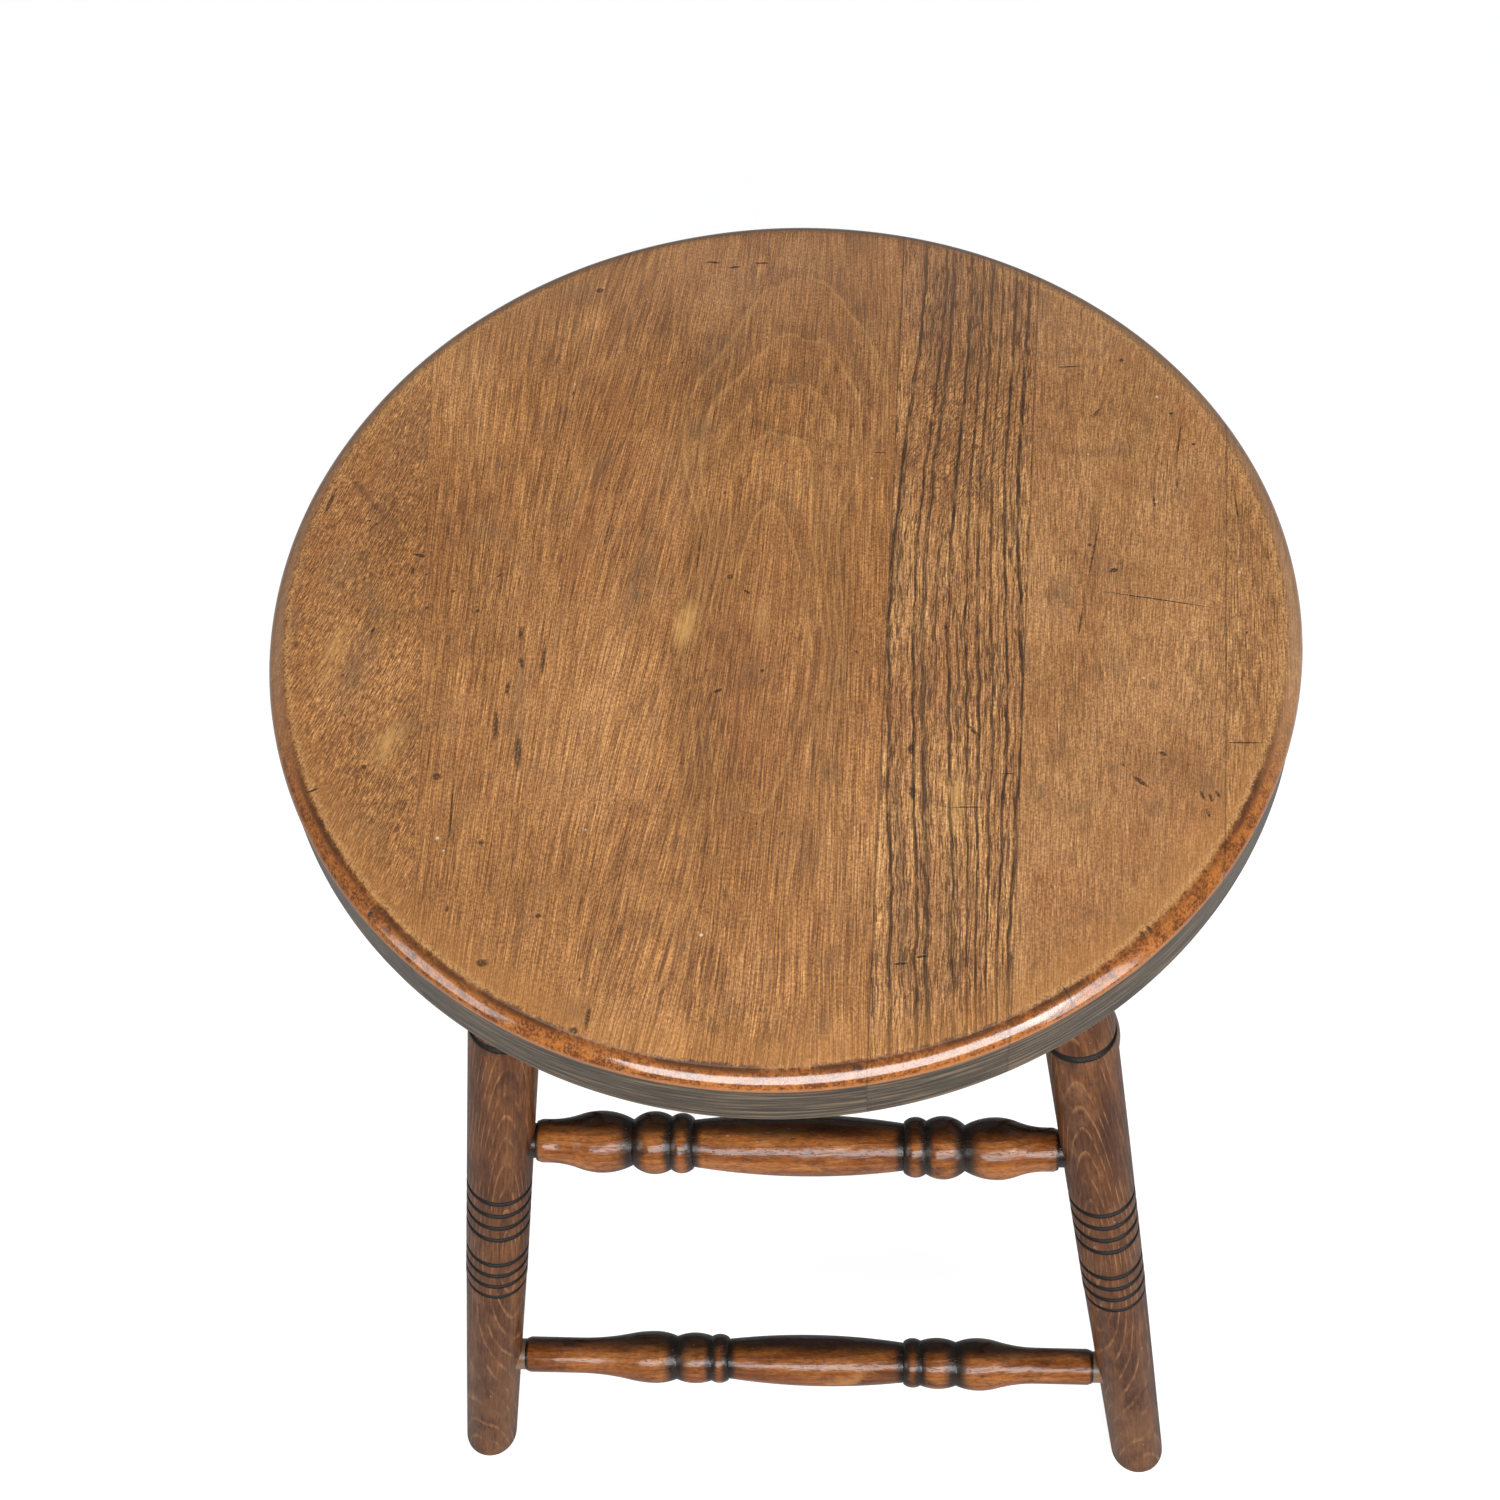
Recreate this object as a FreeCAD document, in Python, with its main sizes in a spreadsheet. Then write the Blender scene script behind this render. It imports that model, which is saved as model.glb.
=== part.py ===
import FreeCAD, Part
import os
import Sketcher

# Farmhouse stool: a slightly oval seat of five glued boards on four splayed turned legs, tied by
# turned stretchers, two at the front, two at the back and one at each side.
# Millimetres, +Z up, +X to the sitter's right as seen from the front, the front towards -Y.
# The origin is on the floor under the middle of the seat.

SIZES = {
    # Seat
    "stool_height": 452.0,
    "seat_depth": 350.0,
    "seat_width": 344.0,
    "seat_thick": 25.5,
    "seat_top_round": 5.6,
    "seat_under_round": 1.2,
    "seat_turn": 4.0,
    # Boards of the seat, measured across its middle, and how far each glue line leans off square
    "left_board_width": 51.6,
    "left_seam_lean": 4.8,
    "coarse_board_start": 35.7,
    "coarse_seam_lean": 1.6,
    "coarse_board_width": 45.8,
    "right_seam_lean": 3.0,
    "edge_board_width": 25.1,
    "edge_seam_lean": 3.9,
    # Stance of the legs: half the distance between axes at the seat's underside and on the floor
    "top_spread": 88.7,
    "foot_spread": 148.2,
    "frame_shift": 2.3,
    # Turned leg, heights above the floor
    "foot_radius": 11.35,
    "foot_round": 2.2,
    "shank_radius": 12.45,
    "barrel_low_radius": 12.65,
    "barrel_high_radius": 12.9,
    "neck_low_radius": 12.6,
    "neck_high_radius": 10.5,
    "neck_ring_height": 339.0,
    "high_rings_height": 204.1,
    "high_rings_pitch": 9.4,
    "low_rings_height": 156.7,
    "low_rings_pitch": 8.97,
    "rings_in_group": 4.0,
    "ring_groove_width": 2.1,
    "ring_groove_depth": 0.85,
    # Leg tenon in the blind hole of the seat
    "leg_tenon_radius": 10.0,
    "leg_tenon_length": 17.0,
    "neck_clearance": 0.9,
    # Joints
    "glue_gap": 0.1,
    "end_gap": 0.5,
    "tenon_chamfer": 0.8,
    "tenon_past_axis": 3.0,
    "stretcher_tenon_radius": 6.6,
    "shoulder_chamfer": 0.7,
    "shoulder_fall": 1.8,
    # Upper stretchers
    "upper_height": 258.8,
    "side_rise": 18.0,
    "upper_shift": 0.9,
    "upper_shoulder_gap": 0.1,
    "upper_swell_half": 39.4,
    "upper_swell_radius": 11.6,
    "upper_swell_end_radius": 8.8,
    "upper_ring_foot_radius": 9.4,
    "upper_ring_width": 8.4,
    "upper_ring_swell": 1.65,
    "upper_quirk_radius": 9.9,
    "upper_ball_width": 14.5,
    "upper_ball_swell": 2.5,
    "upper_neck_radius": 8.55,
    "upper_vase_rise": 11.8,
    "upper_vase_swell": 3.1,
    "upper_vase_turn": 0.42,
    "upper_plain_end": 4.6,
    "upper_end_radius": 8.2,
    # Lower stretchers
    "lower_height": 80.9,
    "lower_shift": 3.7,
    "lower_shoulder_gap": 1.65,
    "lower_swell_half": 37.7,
    "lower_swell_radius": 10.8,
    "lower_swell_end_radius": 8.4,
    "lower_ring_foot_radius": 9.0,
    "lower_ring_width": 7.4,
    "lower_ring_swell": 1.2,
    "lower_quirk_radius": 9.45,
    "lower_ball_width": 15.2,
    "lower_ball_swell": 1.45,
    "lower_neck_radius": 9.15,
    "lower_vase_rise": 9.3,
    "lower_vase_swell": 1.9,
    "lower_vase_turn": 0.33,
    "lower_plain_end": 23.7,
    "lower_end_radius": 7.55,
}

# Expressions shared by several pieces
UNDERSIDE = "(sizes.stool_height - sizes.seat_thick)"
LEAN = f"((sizes.foot_spread - sizes.top_spread) / {UNDERSIDE})"
AXIS_STRETCH = f"sqrt(1 + 2 * {LEAN} ^ 2)"
SIDE_STRETCH = f"sqrt(1 + {LEAN} ^ 2)"
LEG_TILT = f"atan(sqrt(2) * {LEAN})"
# The legs are turned this much over length and then cut level with the floor
FLOOR_ALLOWANCE = "(2 * sizes.foot_radius * sqrt(2) * " + LEAN + ")"

doc = FreeCAD.newDocument("farmhouse_stool")


def fill_sheet():
    sheet = doc.addObject("Spreadsheet::Sheet", "sizes")
    for row, (name, value) in enumerate(SIZES.items(), start=1):
        sheet.set(f"A{row}", name)
        sheet.set(f"B{row}", str(value))
        sheet.setAlias(f"B{row}", name)
    doc.recompute()
    return sheet


def value(expression):
    result = sheet.evalExpression(expression)
    return float(getattr(result, "Value", result))


def bind(feature, **expressions):
    for name, expression in expressions.items():
        feature.setExpression(name, expression)


def origin_plane(body, role):
    return next(item for item in body.Origin.OriginFeatures if item.Role == role)


def new_sketch(body, name, role="XZ_Plane"):
    sketch = body.newObject("Sketcher::SketchObject", name)
    sketch.AttachmentSupport = [(origin_plane(body, role), "")]
    sketch.MapMode = "FlatFace"
    return sketch


def arc_between(start, end, radius, bulge):
    """Arc of the given radius from start to end; bulge +1 swells away from the axis, -1 is hollow."""
    chord = end - start
    half = chord.Length / 2
    normal = FreeCAD.Vector(chord.y, -chord.x, 0).normalize() * bulge
    middle = (start + end) / 2
    centre = middle - normal * (radius ** 2 - half ** 2) ** 0.5
    return Part.ArcOfCircle(start, centre + normal * radius, end)


def place_point(sketch, geometry, point, across, along):
    """Fix one end of a sketch line by its distance from the turning axis and along it."""
    for kind, axis, expression in (("DistanceX", -2, across), ("DistanceY", -1, along)):
        if expression == "0":
            sketch.addConstraint(Sketcher.Constraint("PointOnObject", geometry, point, axis))
            continue
        number = sketch.addConstraint(
            Sketcher.Constraint(kind, -1, 1, geometry, point, value(expression)))
        sketch.setExpression(f"Constraints[{number}]", expression)


def draw_outline(sketch, points):
    """Closed outline through points (across, along, arc radius, bulge) of the line that ends there."""
    places = [FreeCAD.Vector(value(across), value(along), 0) for across, along, *_ in points]
    for index, (across, along, *arc) in enumerate(points):
        start, end = places[index - 1], places[index]
        if arc:
            radius, bulge = arc
            curve = arc_between(start, end, value(radius), bulge)
            geometry = sketch.addGeometry(curve)
            centre = curve.Center
            turned = (start - centre).cross(end - centre).z > 0
            first, last = (1, 2) if turned else (2, 1)
            number = sketch.addConstraint(Sketcher.Constraint("Radius", geometry, value(radius)))
            sketch.setExpression(f"Constraints[{number}]", radius)
        else:
            geometry = sketch.addGeometry(Part.LineSegment(start, end))
            first, last = 1, 2
        place_point(sketch, geometry, last, across, along)
        if index:
            sketch.addConstraint(Sketcher.Constraint("Coincident", previous, tail, geometry, first))
        else:
            opening = (geometry, first)
        previous, tail = geometry, last
    sketch.addConstraint(Sketcher.Constraint("Coincident", previous, tail, *opening))


def turn(body, name, points):
    """Solid turned about the body's Z axis from an outline of (distance from axis, height)."""
    sketch = new_sketch(body, f"{name}_outline")
    draw_outline(sketch, points)
    solid = body.newObject("PartDesign::Revolution", name)
    solid.Profile = sketch
    solid.ReferenceAxis = (sketch, ["V_Axis"])
    solid.Angle = 360
    return solid


def leg_distance(height):
    """Distance along a leg's axis from its untrimmed foot to a height above the floor."""
    return f"(({height} + {FLOOR_ALLOWANCE}) * {AXIS_STRETCH})"


def leg_outline():
    ring_line = leg_distance("sizes.low_rings_height")
    neck_line = leg_distance("sizes.neck_ring_height")
    underside = leg_distance(UNDERSIDE)
    slope = f"sizes.neck_high_radius * sqrt(2) * {LEAN}"
    shoulder = f"({underside} - {slope} - sizes.neck_clearance * {AXIS_STRETCH})"
    top = f"{underside} + sizes.leg_tenon_length"
    return [
        ("0", "0"),
        ("sizes.foot_radius", "0"),
        ("sizes.shank_radius", ring_line),
        ("sizes.barrel_low_radius", ring_line),
        ("sizes.barrel_high_radius", neck_line),
        ("sizes.neck_low_radius", neck_line),
        ("sizes.neck_high_radius", shoulder),
        ("sizes.leg_tenon_radius", shoulder),
        ("sizes.leg_tenon_radius", f"{top} - sizes.tenon_chamfer"),
        ("sizes.leg_tenon_radius - sizes.tenon_chamfer", top),
        ("0", top),
    ]


def cut_ring(body, name, radius, height):
    """V-shaped ring groove round the leg, its bottom measured from the given surface radius."""
    middle = leg_distance(height)
    half = "sizes.ring_groove_width / 2"
    bottom = f"{radius} - sizes.ring_groove_depth"
    mouth = f"{radius} + sizes.ring_groove_depth"
    sketch = new_sketch(body, f"{name}_section")
    draw_outline(sketch, [
        (bottom, middle),
        (mouth, f"{middle} + 2 * {half}"),
        (mouth, f"{middle} - 2 * {half}"),
    ])
    groove = body.newObject("PartDesign::Groove", name)
    groove.Profile = sketch
    groove.ReferenceAxis = (sketch, ["V_Axis"])
    groove.Angle = 360
    return groove


def cut_ring_group(body, name, height, pitch):
    first = cut_ring(body, f"{name}_first", "sizes.barrel_low_radius", height)
    group = body.newObject("PartDesign::LinearPattern", name)
    group.Originals = [first]
    group.Direction = (first.Profile[0], ["V_Axis"])
    bind(group, Length=f"(sizes.rings_in_group - 1) * {pitch} * {AXIS_STRETCH}",
         Occurrences="sizes.rings_in_group")
    body.Tip = group


def turned_leg(name, side, end):
    """Leg as it leaves the lathe, set at its splay; side is -1 left, 1 right; end -1 front, 1 back."""
    body = doc.addObject("PartDesign::Body", f"{name}_turned")
    turn(body, f"{name}_shaft", leg_outline())
    cut_ring(body, f"{name}_neck_ring", "sizes.barrel_high_radius", "sizes.neck_ring_height")
    cut_ring_group(body, f"{name}_high_rings", "sizes.high_rings_height", "sizes.high_rings_pitch")
    cut_ring_group(body, f"{name}_low_rings", "sizes.low_rings_height", "sizes.low_rings_pitch")
    foot = f"(sizes.foot_spread + {LEAN} * {FLOOR_ALLOWANCE})"
    body.Placement.Rotation = FreeCAD.Rotation(FreeCAD.Vector(end, -side, 0), 10)
    body.setExpression("Placement.Base.x", f"{side} * {foot} + sizes.frame_shift")
    body.setExpression("Placement.Base.y", f"{end} * {foot}")
    body.setExpression("Placement.Base.z", f"-{FLOOR_ALLOWANCE}")
    body.setExpression("Placement.Rotation.Angle", LEG_TILT)
    return body


def seat_hole(name, body):
    """Blind hole in the seat, on the axis of one leg."""
    hole = doc.addObject("Part::Cylinder", f"{name}_seat_hole")
    bind(hole, Radius="sizes.leg_tenon_radius + sizes.glue_gap",
         Height=f"{leg_distance(UNDERSIDE)} + sizes.leg_tenon_length + sizes.end_gap")
    hole.setExpression("Placement", f"{body.Name}.Placement")
    return hole


def spread_at(height):
    return f"(sizes.foot_spread - {LEAN} * {height})"


def leg_radius_at(height):
    """Widest the leg can be at a height, for the shoulders that stop against it."""
    rise = f"({height} / sizes.low_rings_height)"
    shank = f"sizes.foot_radius + (sizes.shank_radius - sizes.foot_radius) * {rise}"
    return f"({height} > sizes.low_rings_height ? sizes.barrel_high_radius : {shank})"


def cap(half_width, rise):
    """Radius of the arc that rises this far over a chord of twice the half width."""
    return f"(({half_width} ^ 2 + {rise} ^ 2) / (2 * {rise}))"


def stretcher_outline(level, height):
    """Outline of a stretcher of one pattern; level is the prefix of its sizes, upper or lower."""
    def size(name):
        return f"sizes.{level}_{name}"

    half_length = f"({spread_at(height)} + sizes.tenon_past_axis)"
    leg_surface = f"{spread_at(height)} - {leg_radius_at(height)} * {SIDE_STRETCH}"
    face_radius = f"({size('end_radius')} - sizes.shoulder_chamfer)"
    shoulder = f"({leg_surface} - {LEAN} * {face_radius} - {size('shoulder_gap')})"
    vase_end = f"({shoulder} - {size('plain_end')})"
    quirk = f"({size('swell_half')} + {size('ring_width')})"
    neck = f"({quirk} + {size('ball_width')})"
    peak = f"({neck} + {size('vase_rise')})"
    peak_radius = f"({size('neck_radius')} + {size('vase_swell')})"
    drop = f"({peak_radius} - {size('end_radius')})"

    swell = cap(size("swell_half"), f"({size('swell_radius')} - {size('swell_end_radius')})")
    ring = cap(f"({size('ring_width')} / 2)", size("ring_swell"))
    ball = cap(f"({size('ball_width')} / 2)", size("ball_swell"))
    vase = cap(size("vase_rise"), size("vase_swell"))

    def half(sign):
        """From the middle out: radius, place along the piece, and the arc that leads there."""
        def place(distance):
            return f"{half_length} + {size('shift')} + {sign} * {distance}"

        run = f"({vase_end} - {peak} - {sign} * {size('shift')})"
        ogee = cap(run, drop)
        turn_radius = f"{peak_radius} - {size('vase_turn')} * {drop}"
        return [
            (size("swell_end_radius"), place(size("swell_half"))),
            (size("ring_foot_radius"), place(size("swell_half"))),
            (size("quirk_radius"), place(quirk), ring, 1),
            (size("neck_radius"), place(neck), ball, 1),
            (peak_radius, place(peak), vase, 1),
            (turn_radius, place(f"({peak} + {size('vase_turn')} * {run})"),
             f"{size('vase_turn')} * {ogee}", 1),
            (size("end_radius"), f"{half_length} + {sign} * {vase_end}",
             f"(1 - {size('vase_turn')}) * {ogee}", -1),
        ]

    right, outward = half(1), half(-1)
    left = []
    for index, point in enumerate(reversed(outward)):
        lead = outward[len(outward) - index][2:] if index else ()
        left.append((*point[:2], *lead))
    right[0] = (*right[0][:2], swell, 1)

    def end(sign):
        edge = f"{half_length} + {sign} * ({shoulder})"
        tip = f"{half_length} + {sign} * {half_length}"
        inward = f"- {sign} *"
        return [
            (size("end_radius"), f"{edge} {inward} sizes.shoulder_fall"),
            (face_radius, edge),
            ("sizes.stretcher_tenon_radius", edge),
            ("sizes.stretcher_tenon_radius", f"{tip} {inward} sizes.tenon_chamfer"),
            ("sizes.stretcher_tenon_radius - sizes.tenon_chamfer", tip if sign > 0 else "0"),
            ("0", tip if sign > 0 else "0"),
        ]

    return list(reversed(end(-1))) + left + right + end(1)


def stretcher(name, level, across, side, height):
    """Turned stretcher; across True runs left to right, False front to back, at its side."""
    body = doc.addObject("PartDesign::Body", name)
    body.Label = name
    turn(body, f"{name}_turning", stretcher_outline(level, height))
    half_length = f"({spread_at(height)} + sizes.tenon_past_axis)"
    place_along(body, across, side, height, half_length)
    return body


def place_along(item, across, side, height, half_length):
    """Lay a piece that stands on its own Z axis along X or Y, centred between two legs."""
    if across:
        item.Placement.Rotation = FreeCAD.Rotation(FreeCAD.Vector(0, 1, 0), 90)
        item.setExpression("Placement.Base.x", f"sizes.frame_shift - {half_length}")
        item.setExpression("Placement.Base.y", f"{side} * {spread_at(height)}")
    else:
        item.Placement.Rotation = FreeCAD.Rotation(FreeCAD.Vector(1, 0, 0), -90)
        item.setExpression("Placement.Base.x", f"sizes.frame_shift + {side} * {spread_at(height)}")
        item.setExpression("Placement.Base.y", f"-{half_length}")
    item.setExpression("Placement.Base.z", height)


def mortise_pair(name, across, side, height):
    """Drill that bores both mortises of one stretcher."""
    drill = doc.addObject("Part::Cylinder", f"{name}_mortises")
    half_length = f"({spread_at(height)} + sizes.tenon_past_axis + sizes.end_gap)"
    bind(drill, Radius="sizes.stretcher_tenon_radius + sizes.glue_gap", Height=f"2 * {half_length}")
    place_along(drill, across, side, height, half_length)
    return drill


def floor_slab():
    """Block below the floor that the feet are cut level with."""
    slab = doc.addObject("Part::Box", "floor_slab")
    bind(slab, Length="4 * sizes.foot_spread", Width="4 * sizes.foot_spread",
         Height="4 * sizes.foot_radius")
    slab.setExpression("Placement.Base.x", "-2 * sizes.foot_spread")
    slab.setExpression("Placement.Base.y", "-2 * sizes.foot_spread")
    slab.setExpression("Placement.Base.z", "-4 * sizes.foot_radius")
    return slab


def round_edges(base, name, label, chosen):
    """Fillet on the edges of base at given heights; chosen maps a height to its radius."""
    doc.recompute()
    edges = []
    for number, edge in enumerate(base.Shape.Edges, start=1):
        box = edge.BoundBox
        for height, radius in chosen.items():
            if abs(box.ZMin - height) < 1e-4 and abs(box.ZMax - height) < 1e-4:
                edges.append((number, radius, radius))
    rounded = doc.addObject("Part::Fillet", name)
    rounded.Base = base
    rounded.Edges = edges
    rounded.Label = label
    return rounded


def fitted_leg(name, body, drills):
    """Leg cut level at the foot and bored for its stretchers."""
    tools = doc.addObject("Part::MultiFuse", f"{name}_tools")
    tools.Shapes = drills
    cut = doc.addObject("Part::Cut", f"{name}_bored")
    cut.Base = body
    cut.Tool = tools
    return round_edges(cut, f"{name}_rounded", name, {0.0: value("sizes.foot_round")})


def seat_disc():
    """The sawn-out oval of the whole seat, with its worn round top edge."""
    rim = doc.addObject("Part::Ellipse", "seat_rim")
    bind(rim, MajorRadius="max(sizes.seat_depth; sizes.seat_width) / 2",
         MinorRadius="min(sizes.seat_depth; sizes.seat_width) / 2")
    disc = doc.addObject("Part::Extrusion", "seat_sawn")
    disc.Base = rim
    disc.DirMode = "Custom"
    disc.Dir = FreeCAD.Vector(0, 0, 1)
    disc.Solid = True
    disc.setExpression("LengthFwd", "sizes.seat_thick")
    rim.setExpression("Placement.Base.z", UNDERSIDE)
    rim.setExpression("Placement.Rotation.Angle",
                      "(sizes.seat_depth > sizes.seat_width ? 90 : 0) - sizes.seat_turn")
    return round_edges(disc, "seat_disc", "seat disc", {
        value("sizes.stool_height"): value("sizes.seat_top_round"),
        value(UNDERSIDE): value("sizes.seat_under_round"),
    })


def seam(place, lean):
    """Glue line as (front, back) distances from the left edge of the stock."""
    reach = "sizes.seat_depth"
    run = f"{reach} * tan({lean})"
    return (f"{reach} + {place} - {run}", f"{reach} + {place} + {run}")


def seat_board(name, left, right, disc, holes):
    """One board: the part of the oval between two glue lines, with the leg holes in it."""
    body = doc.addObject("PartDesign::Body", f"{name}_stock")
    sketch = new_sketch(body, f"{name}_plan", "XY_Plane")
    draw_outline(sketch, [
        (left[0], "0"),
        (right[0], "0"),
        (right[1], "2 * sizes.seat_depth"),
        (left[1], "2 * sizes.seat_depth"),
    ])
    stock = body.newObject("PartDesign::Pad", f"{name}_plank")
    stock.Profile = sketch
    stock.setExpression("Length", "sizes.seat_thick")
    body.setExpression("Placement.Base.x", "-sizes.seat_depth")
    body.setExpression("Placement.Base.y", "-sizes.seat_depth")
    body.setExpression("Placement.Base.z", UNDERSIDE)
    sawn = doc.addObject("Part::Common", f"{name}_sawn")
    sawn.Base = disc
    sawn.Tool = body
    board = doc.addObject("Part::Cut", f"{name}_bored")
    board.Base = sawn
    board.Tool = holes
    board.Label = name
    return board


def build_seat(holes):
    disc = seat_disc()
    rim = "sizes.seat_width / 2"
    coarse_end = "sizes.coarse_board_start + sizes.coarse_board_width"
    seams = [
        ("0", "0"),
        seam(f"-({rim} - sizes.left_board_width)", "-sizes.left_seam_lean"),
        seam("sizes.coarse_board_start", "sizes.coarse_seam_lean"),
        seam(coarse_end, "sizes.right_seam_lean"),
        seam(f"{rim} - sizes.edge_board_width", "sizes.edge_seam_lean"),
        ("2 * sizes.seat_depth", "2 * sizes.seat_depth"),
    ]
    names = ["left", "wide", "coarse", "right", "edge"]
    boards = []
    for number, name in enumerate(names):
        boards.append(seat_board(f"seat_board_{name}", seams[number], seams[number + 1], disc, holes))
    return boards


def build_frame():
    upper, lower = "sizes.upper_height", "sizes.lower_height"
    raised = f"({upper} + sizes.side_rise)"
    stretchers, drills = [], {}
    for face, end in (("front", -1), ("back", 1)):
        for level, height in (("upper", upper), ("lower", lower)):
            name = f"{face}_stretcher_{level}"
            stretchers.append(stretcher(name, level, True, end, height))
            drills[name] = mortise_pair(name, True, end, height)
    for face, side in (("left", -1), ("right", 1)):
        name = f"{face}_stretcher"
        stretchers.append(stretcher(name, "upper", False, side, raised))
        drills[name] = mortise_pair(name, False, side, raised)

    floor = floor_slab()
    legs, holes = [], []
    for face, end in (("front", -1), ("back", 1)):
        for hand, side in (("left", -1), ("right", 1)):
            name = f"leg_{face}_{hand}"
            body = turned_leg(name, side, end)
            tools = [floor, drills[f"{face}_stretcher_upper"], drills[f"{face}_stretcher_lower"],
                     drills[f"{hand}_stretcher"]]
            legs.append(fitted_leg(name, body, tools))
            holes.append(seat_hole(name, body))
    return stretchers + legs, holes


def check_and_export(pieces):
    doc.recompute()
    for item in doc.Objects:
        if "Invalid" in item.State or "Error" in item.State:
            raise RuntimeError(f"{item.Name} failed: {item.State}")
    for piece in pieces:
        if piece.Shape.isNull() or not piece.Shape.isValid() or len(piece.Shape.Solids) != 1:
            raise RuntimeError(f"{piece.Label} is not one sound solid")
    os.makedirs("parts", exist_ok=True)
    for piece in pieces:
        piece.Shape.exportStep(f"parts/{piece.Label}.step")


sheet = fill_sheet()
frame_pieces, leg_holes = build_frame()
hole_group = doc.addObject("Part::MultiFuse", "seat_holes")
hole_group.Shapes = leg_holes
check_and_export(frame_pieces + build_seat(hole_group))
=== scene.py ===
import math
import bmesh
import bpy
from mathutils import Matrix, Vector

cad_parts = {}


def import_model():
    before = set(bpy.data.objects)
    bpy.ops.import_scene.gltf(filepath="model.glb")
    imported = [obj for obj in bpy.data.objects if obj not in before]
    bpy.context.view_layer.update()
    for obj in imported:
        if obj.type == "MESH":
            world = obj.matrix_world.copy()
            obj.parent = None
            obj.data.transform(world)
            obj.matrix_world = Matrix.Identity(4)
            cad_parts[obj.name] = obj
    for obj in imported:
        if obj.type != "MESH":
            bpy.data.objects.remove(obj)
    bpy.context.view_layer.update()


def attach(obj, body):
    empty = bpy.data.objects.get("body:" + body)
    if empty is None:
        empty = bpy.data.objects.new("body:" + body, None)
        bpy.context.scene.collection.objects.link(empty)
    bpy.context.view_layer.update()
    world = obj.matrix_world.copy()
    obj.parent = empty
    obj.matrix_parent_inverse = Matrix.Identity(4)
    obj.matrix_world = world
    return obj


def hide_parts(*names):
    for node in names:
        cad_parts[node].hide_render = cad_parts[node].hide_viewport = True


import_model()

MM = 0.001

# Sizes in millimetres, turns and leans in degrees
STOOL_HEIGHT = 452.0
SEAT_THICK = 25.5
SEAT_DEPTH = 350.0
SEAT_WIDTH = 344.0
SEAT_TURN = 4.0
SEAT_TOP_ROUND = 5.6
SEAT_UNDER_ROUND = 1.2
UNDERSIDE = STOOL_HEIGHT - SEAT_THICK
TOP_SPREAD = 88.7
FOOT_SPREAD = 148.2
FRAME_SHIFT = 2.3
# Glue lines of the seat: where each crosses the middle, and its lean off square
SEAMS = ((-120.4, -4.8), (35.7, 1.6), (81.5, 3.0), (146.9, 3.9))
BOARDS = ("left", "wide", "coarse", "right", "edge")
# Edges that turn by more than this stay sharp
SHARP_ABOVE = 50.0
# How far a leg comes in for each millimetre it rises
LEAN = (FOOT_SPREAD - TOP_SPREAD) / UNDERSIDE
# Power of the worn top edge: 1 is a plain quarter round, more is flatter
EDGE_WEAR = 1.7

# Colours of the seat that all its boards share
# The last of these is a painted sheen over the back of the top
SEAT_CHIP, WHITE_SPECK, PAINTED_BACK_SHEEN = (0.62, 0.52, 0.4), (0.66, 0.54, 0.4), (0.3, 0.175, 0.115)
RIM_WARM, RIM_BURNT = (0.46, 0.195, 0.05), (0.06, 0.019, 0.005)
# The second is the colour of a painted highlight along the inner border of the rounding
RIM_PALE, RIM_PAINTED_HIGHLIGHT = (0.4, 0.24, 0.14), (0.58, 0.33, 0.125)
AMBER_DARK, AMBER_LIGHT, AMBER_LOW = (0.115, 0.031, 0.006), (0.4, 0.135, 0.026), (0.34, 0.12, 0.026)
SIDE_TONES = ((0.38, (0.012, 0.008, 0.004)), (0.5, (0.042, 0.025, 0.0105)), (0.62, (0.138, 0.092, 0.045)))
ARRIS_PALE = (0.19, 0.125, 0.075)
UNDER_DARK, UNDER_LIGHT = (0.2, 0.105, 0.047), (0.31, 0.175, 0.085)

# Bands along the rim: how far in from the outline each is nothing, then how far in it is full
RIM = {
    # The second and third bands hold a painted highlight along the inner border of the rounding
    "warm": (24.0, 7.0), "painted_highlight": (8.8, 7.4), "painted_highlight_end": (5.9, 6.7), "burnt": (6.9, 5.6),
    "burnt_end": (3.4, 4.8), "polish": (6.6, 5.4), "pale": (6.5, 4.0), "amber": (6.2, 5.0),
}
# The amber finish is left on the front of the rim: y where it starts, then y where it is whole
FRONT_START, FRONT_WHOLE = -15.0, -85.0
# Heights on the seat's edge: where each finish is nothing, then where it is full
AMBER_LOW_FROM = (STOOL_HEIGHT - 3.6, STOOL_HEIGHT - 5.0)
SIDE_FROM = (STOOL_HEIGHT - 4.8, STOOL_HEIGHT - 5.7)
ARRIS_FROM = (UNDERSIDE + 2.0, UNDERSIDE + 1.0)
ARRIS_END = (UNDERSIDE, UNDERSIDE + 0.6)
UNDER_FROM = (UNDERSIDE + 0.5, UNDERSIDE + 0.1)
GLUE_LINE_HALF, GLUE_LINE_CORE = 0.42, 0.15

# Colours shared by the turned pieces
TURNED_CHIP, BARE_TENON = (0.45, 0.33, 0.24), (0.36, 0.21, 0.12)

# Sockets of Blender's colour Mix node
MIX_A, MIX_B, MIX_RESULT = 6, 7, 2


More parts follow.
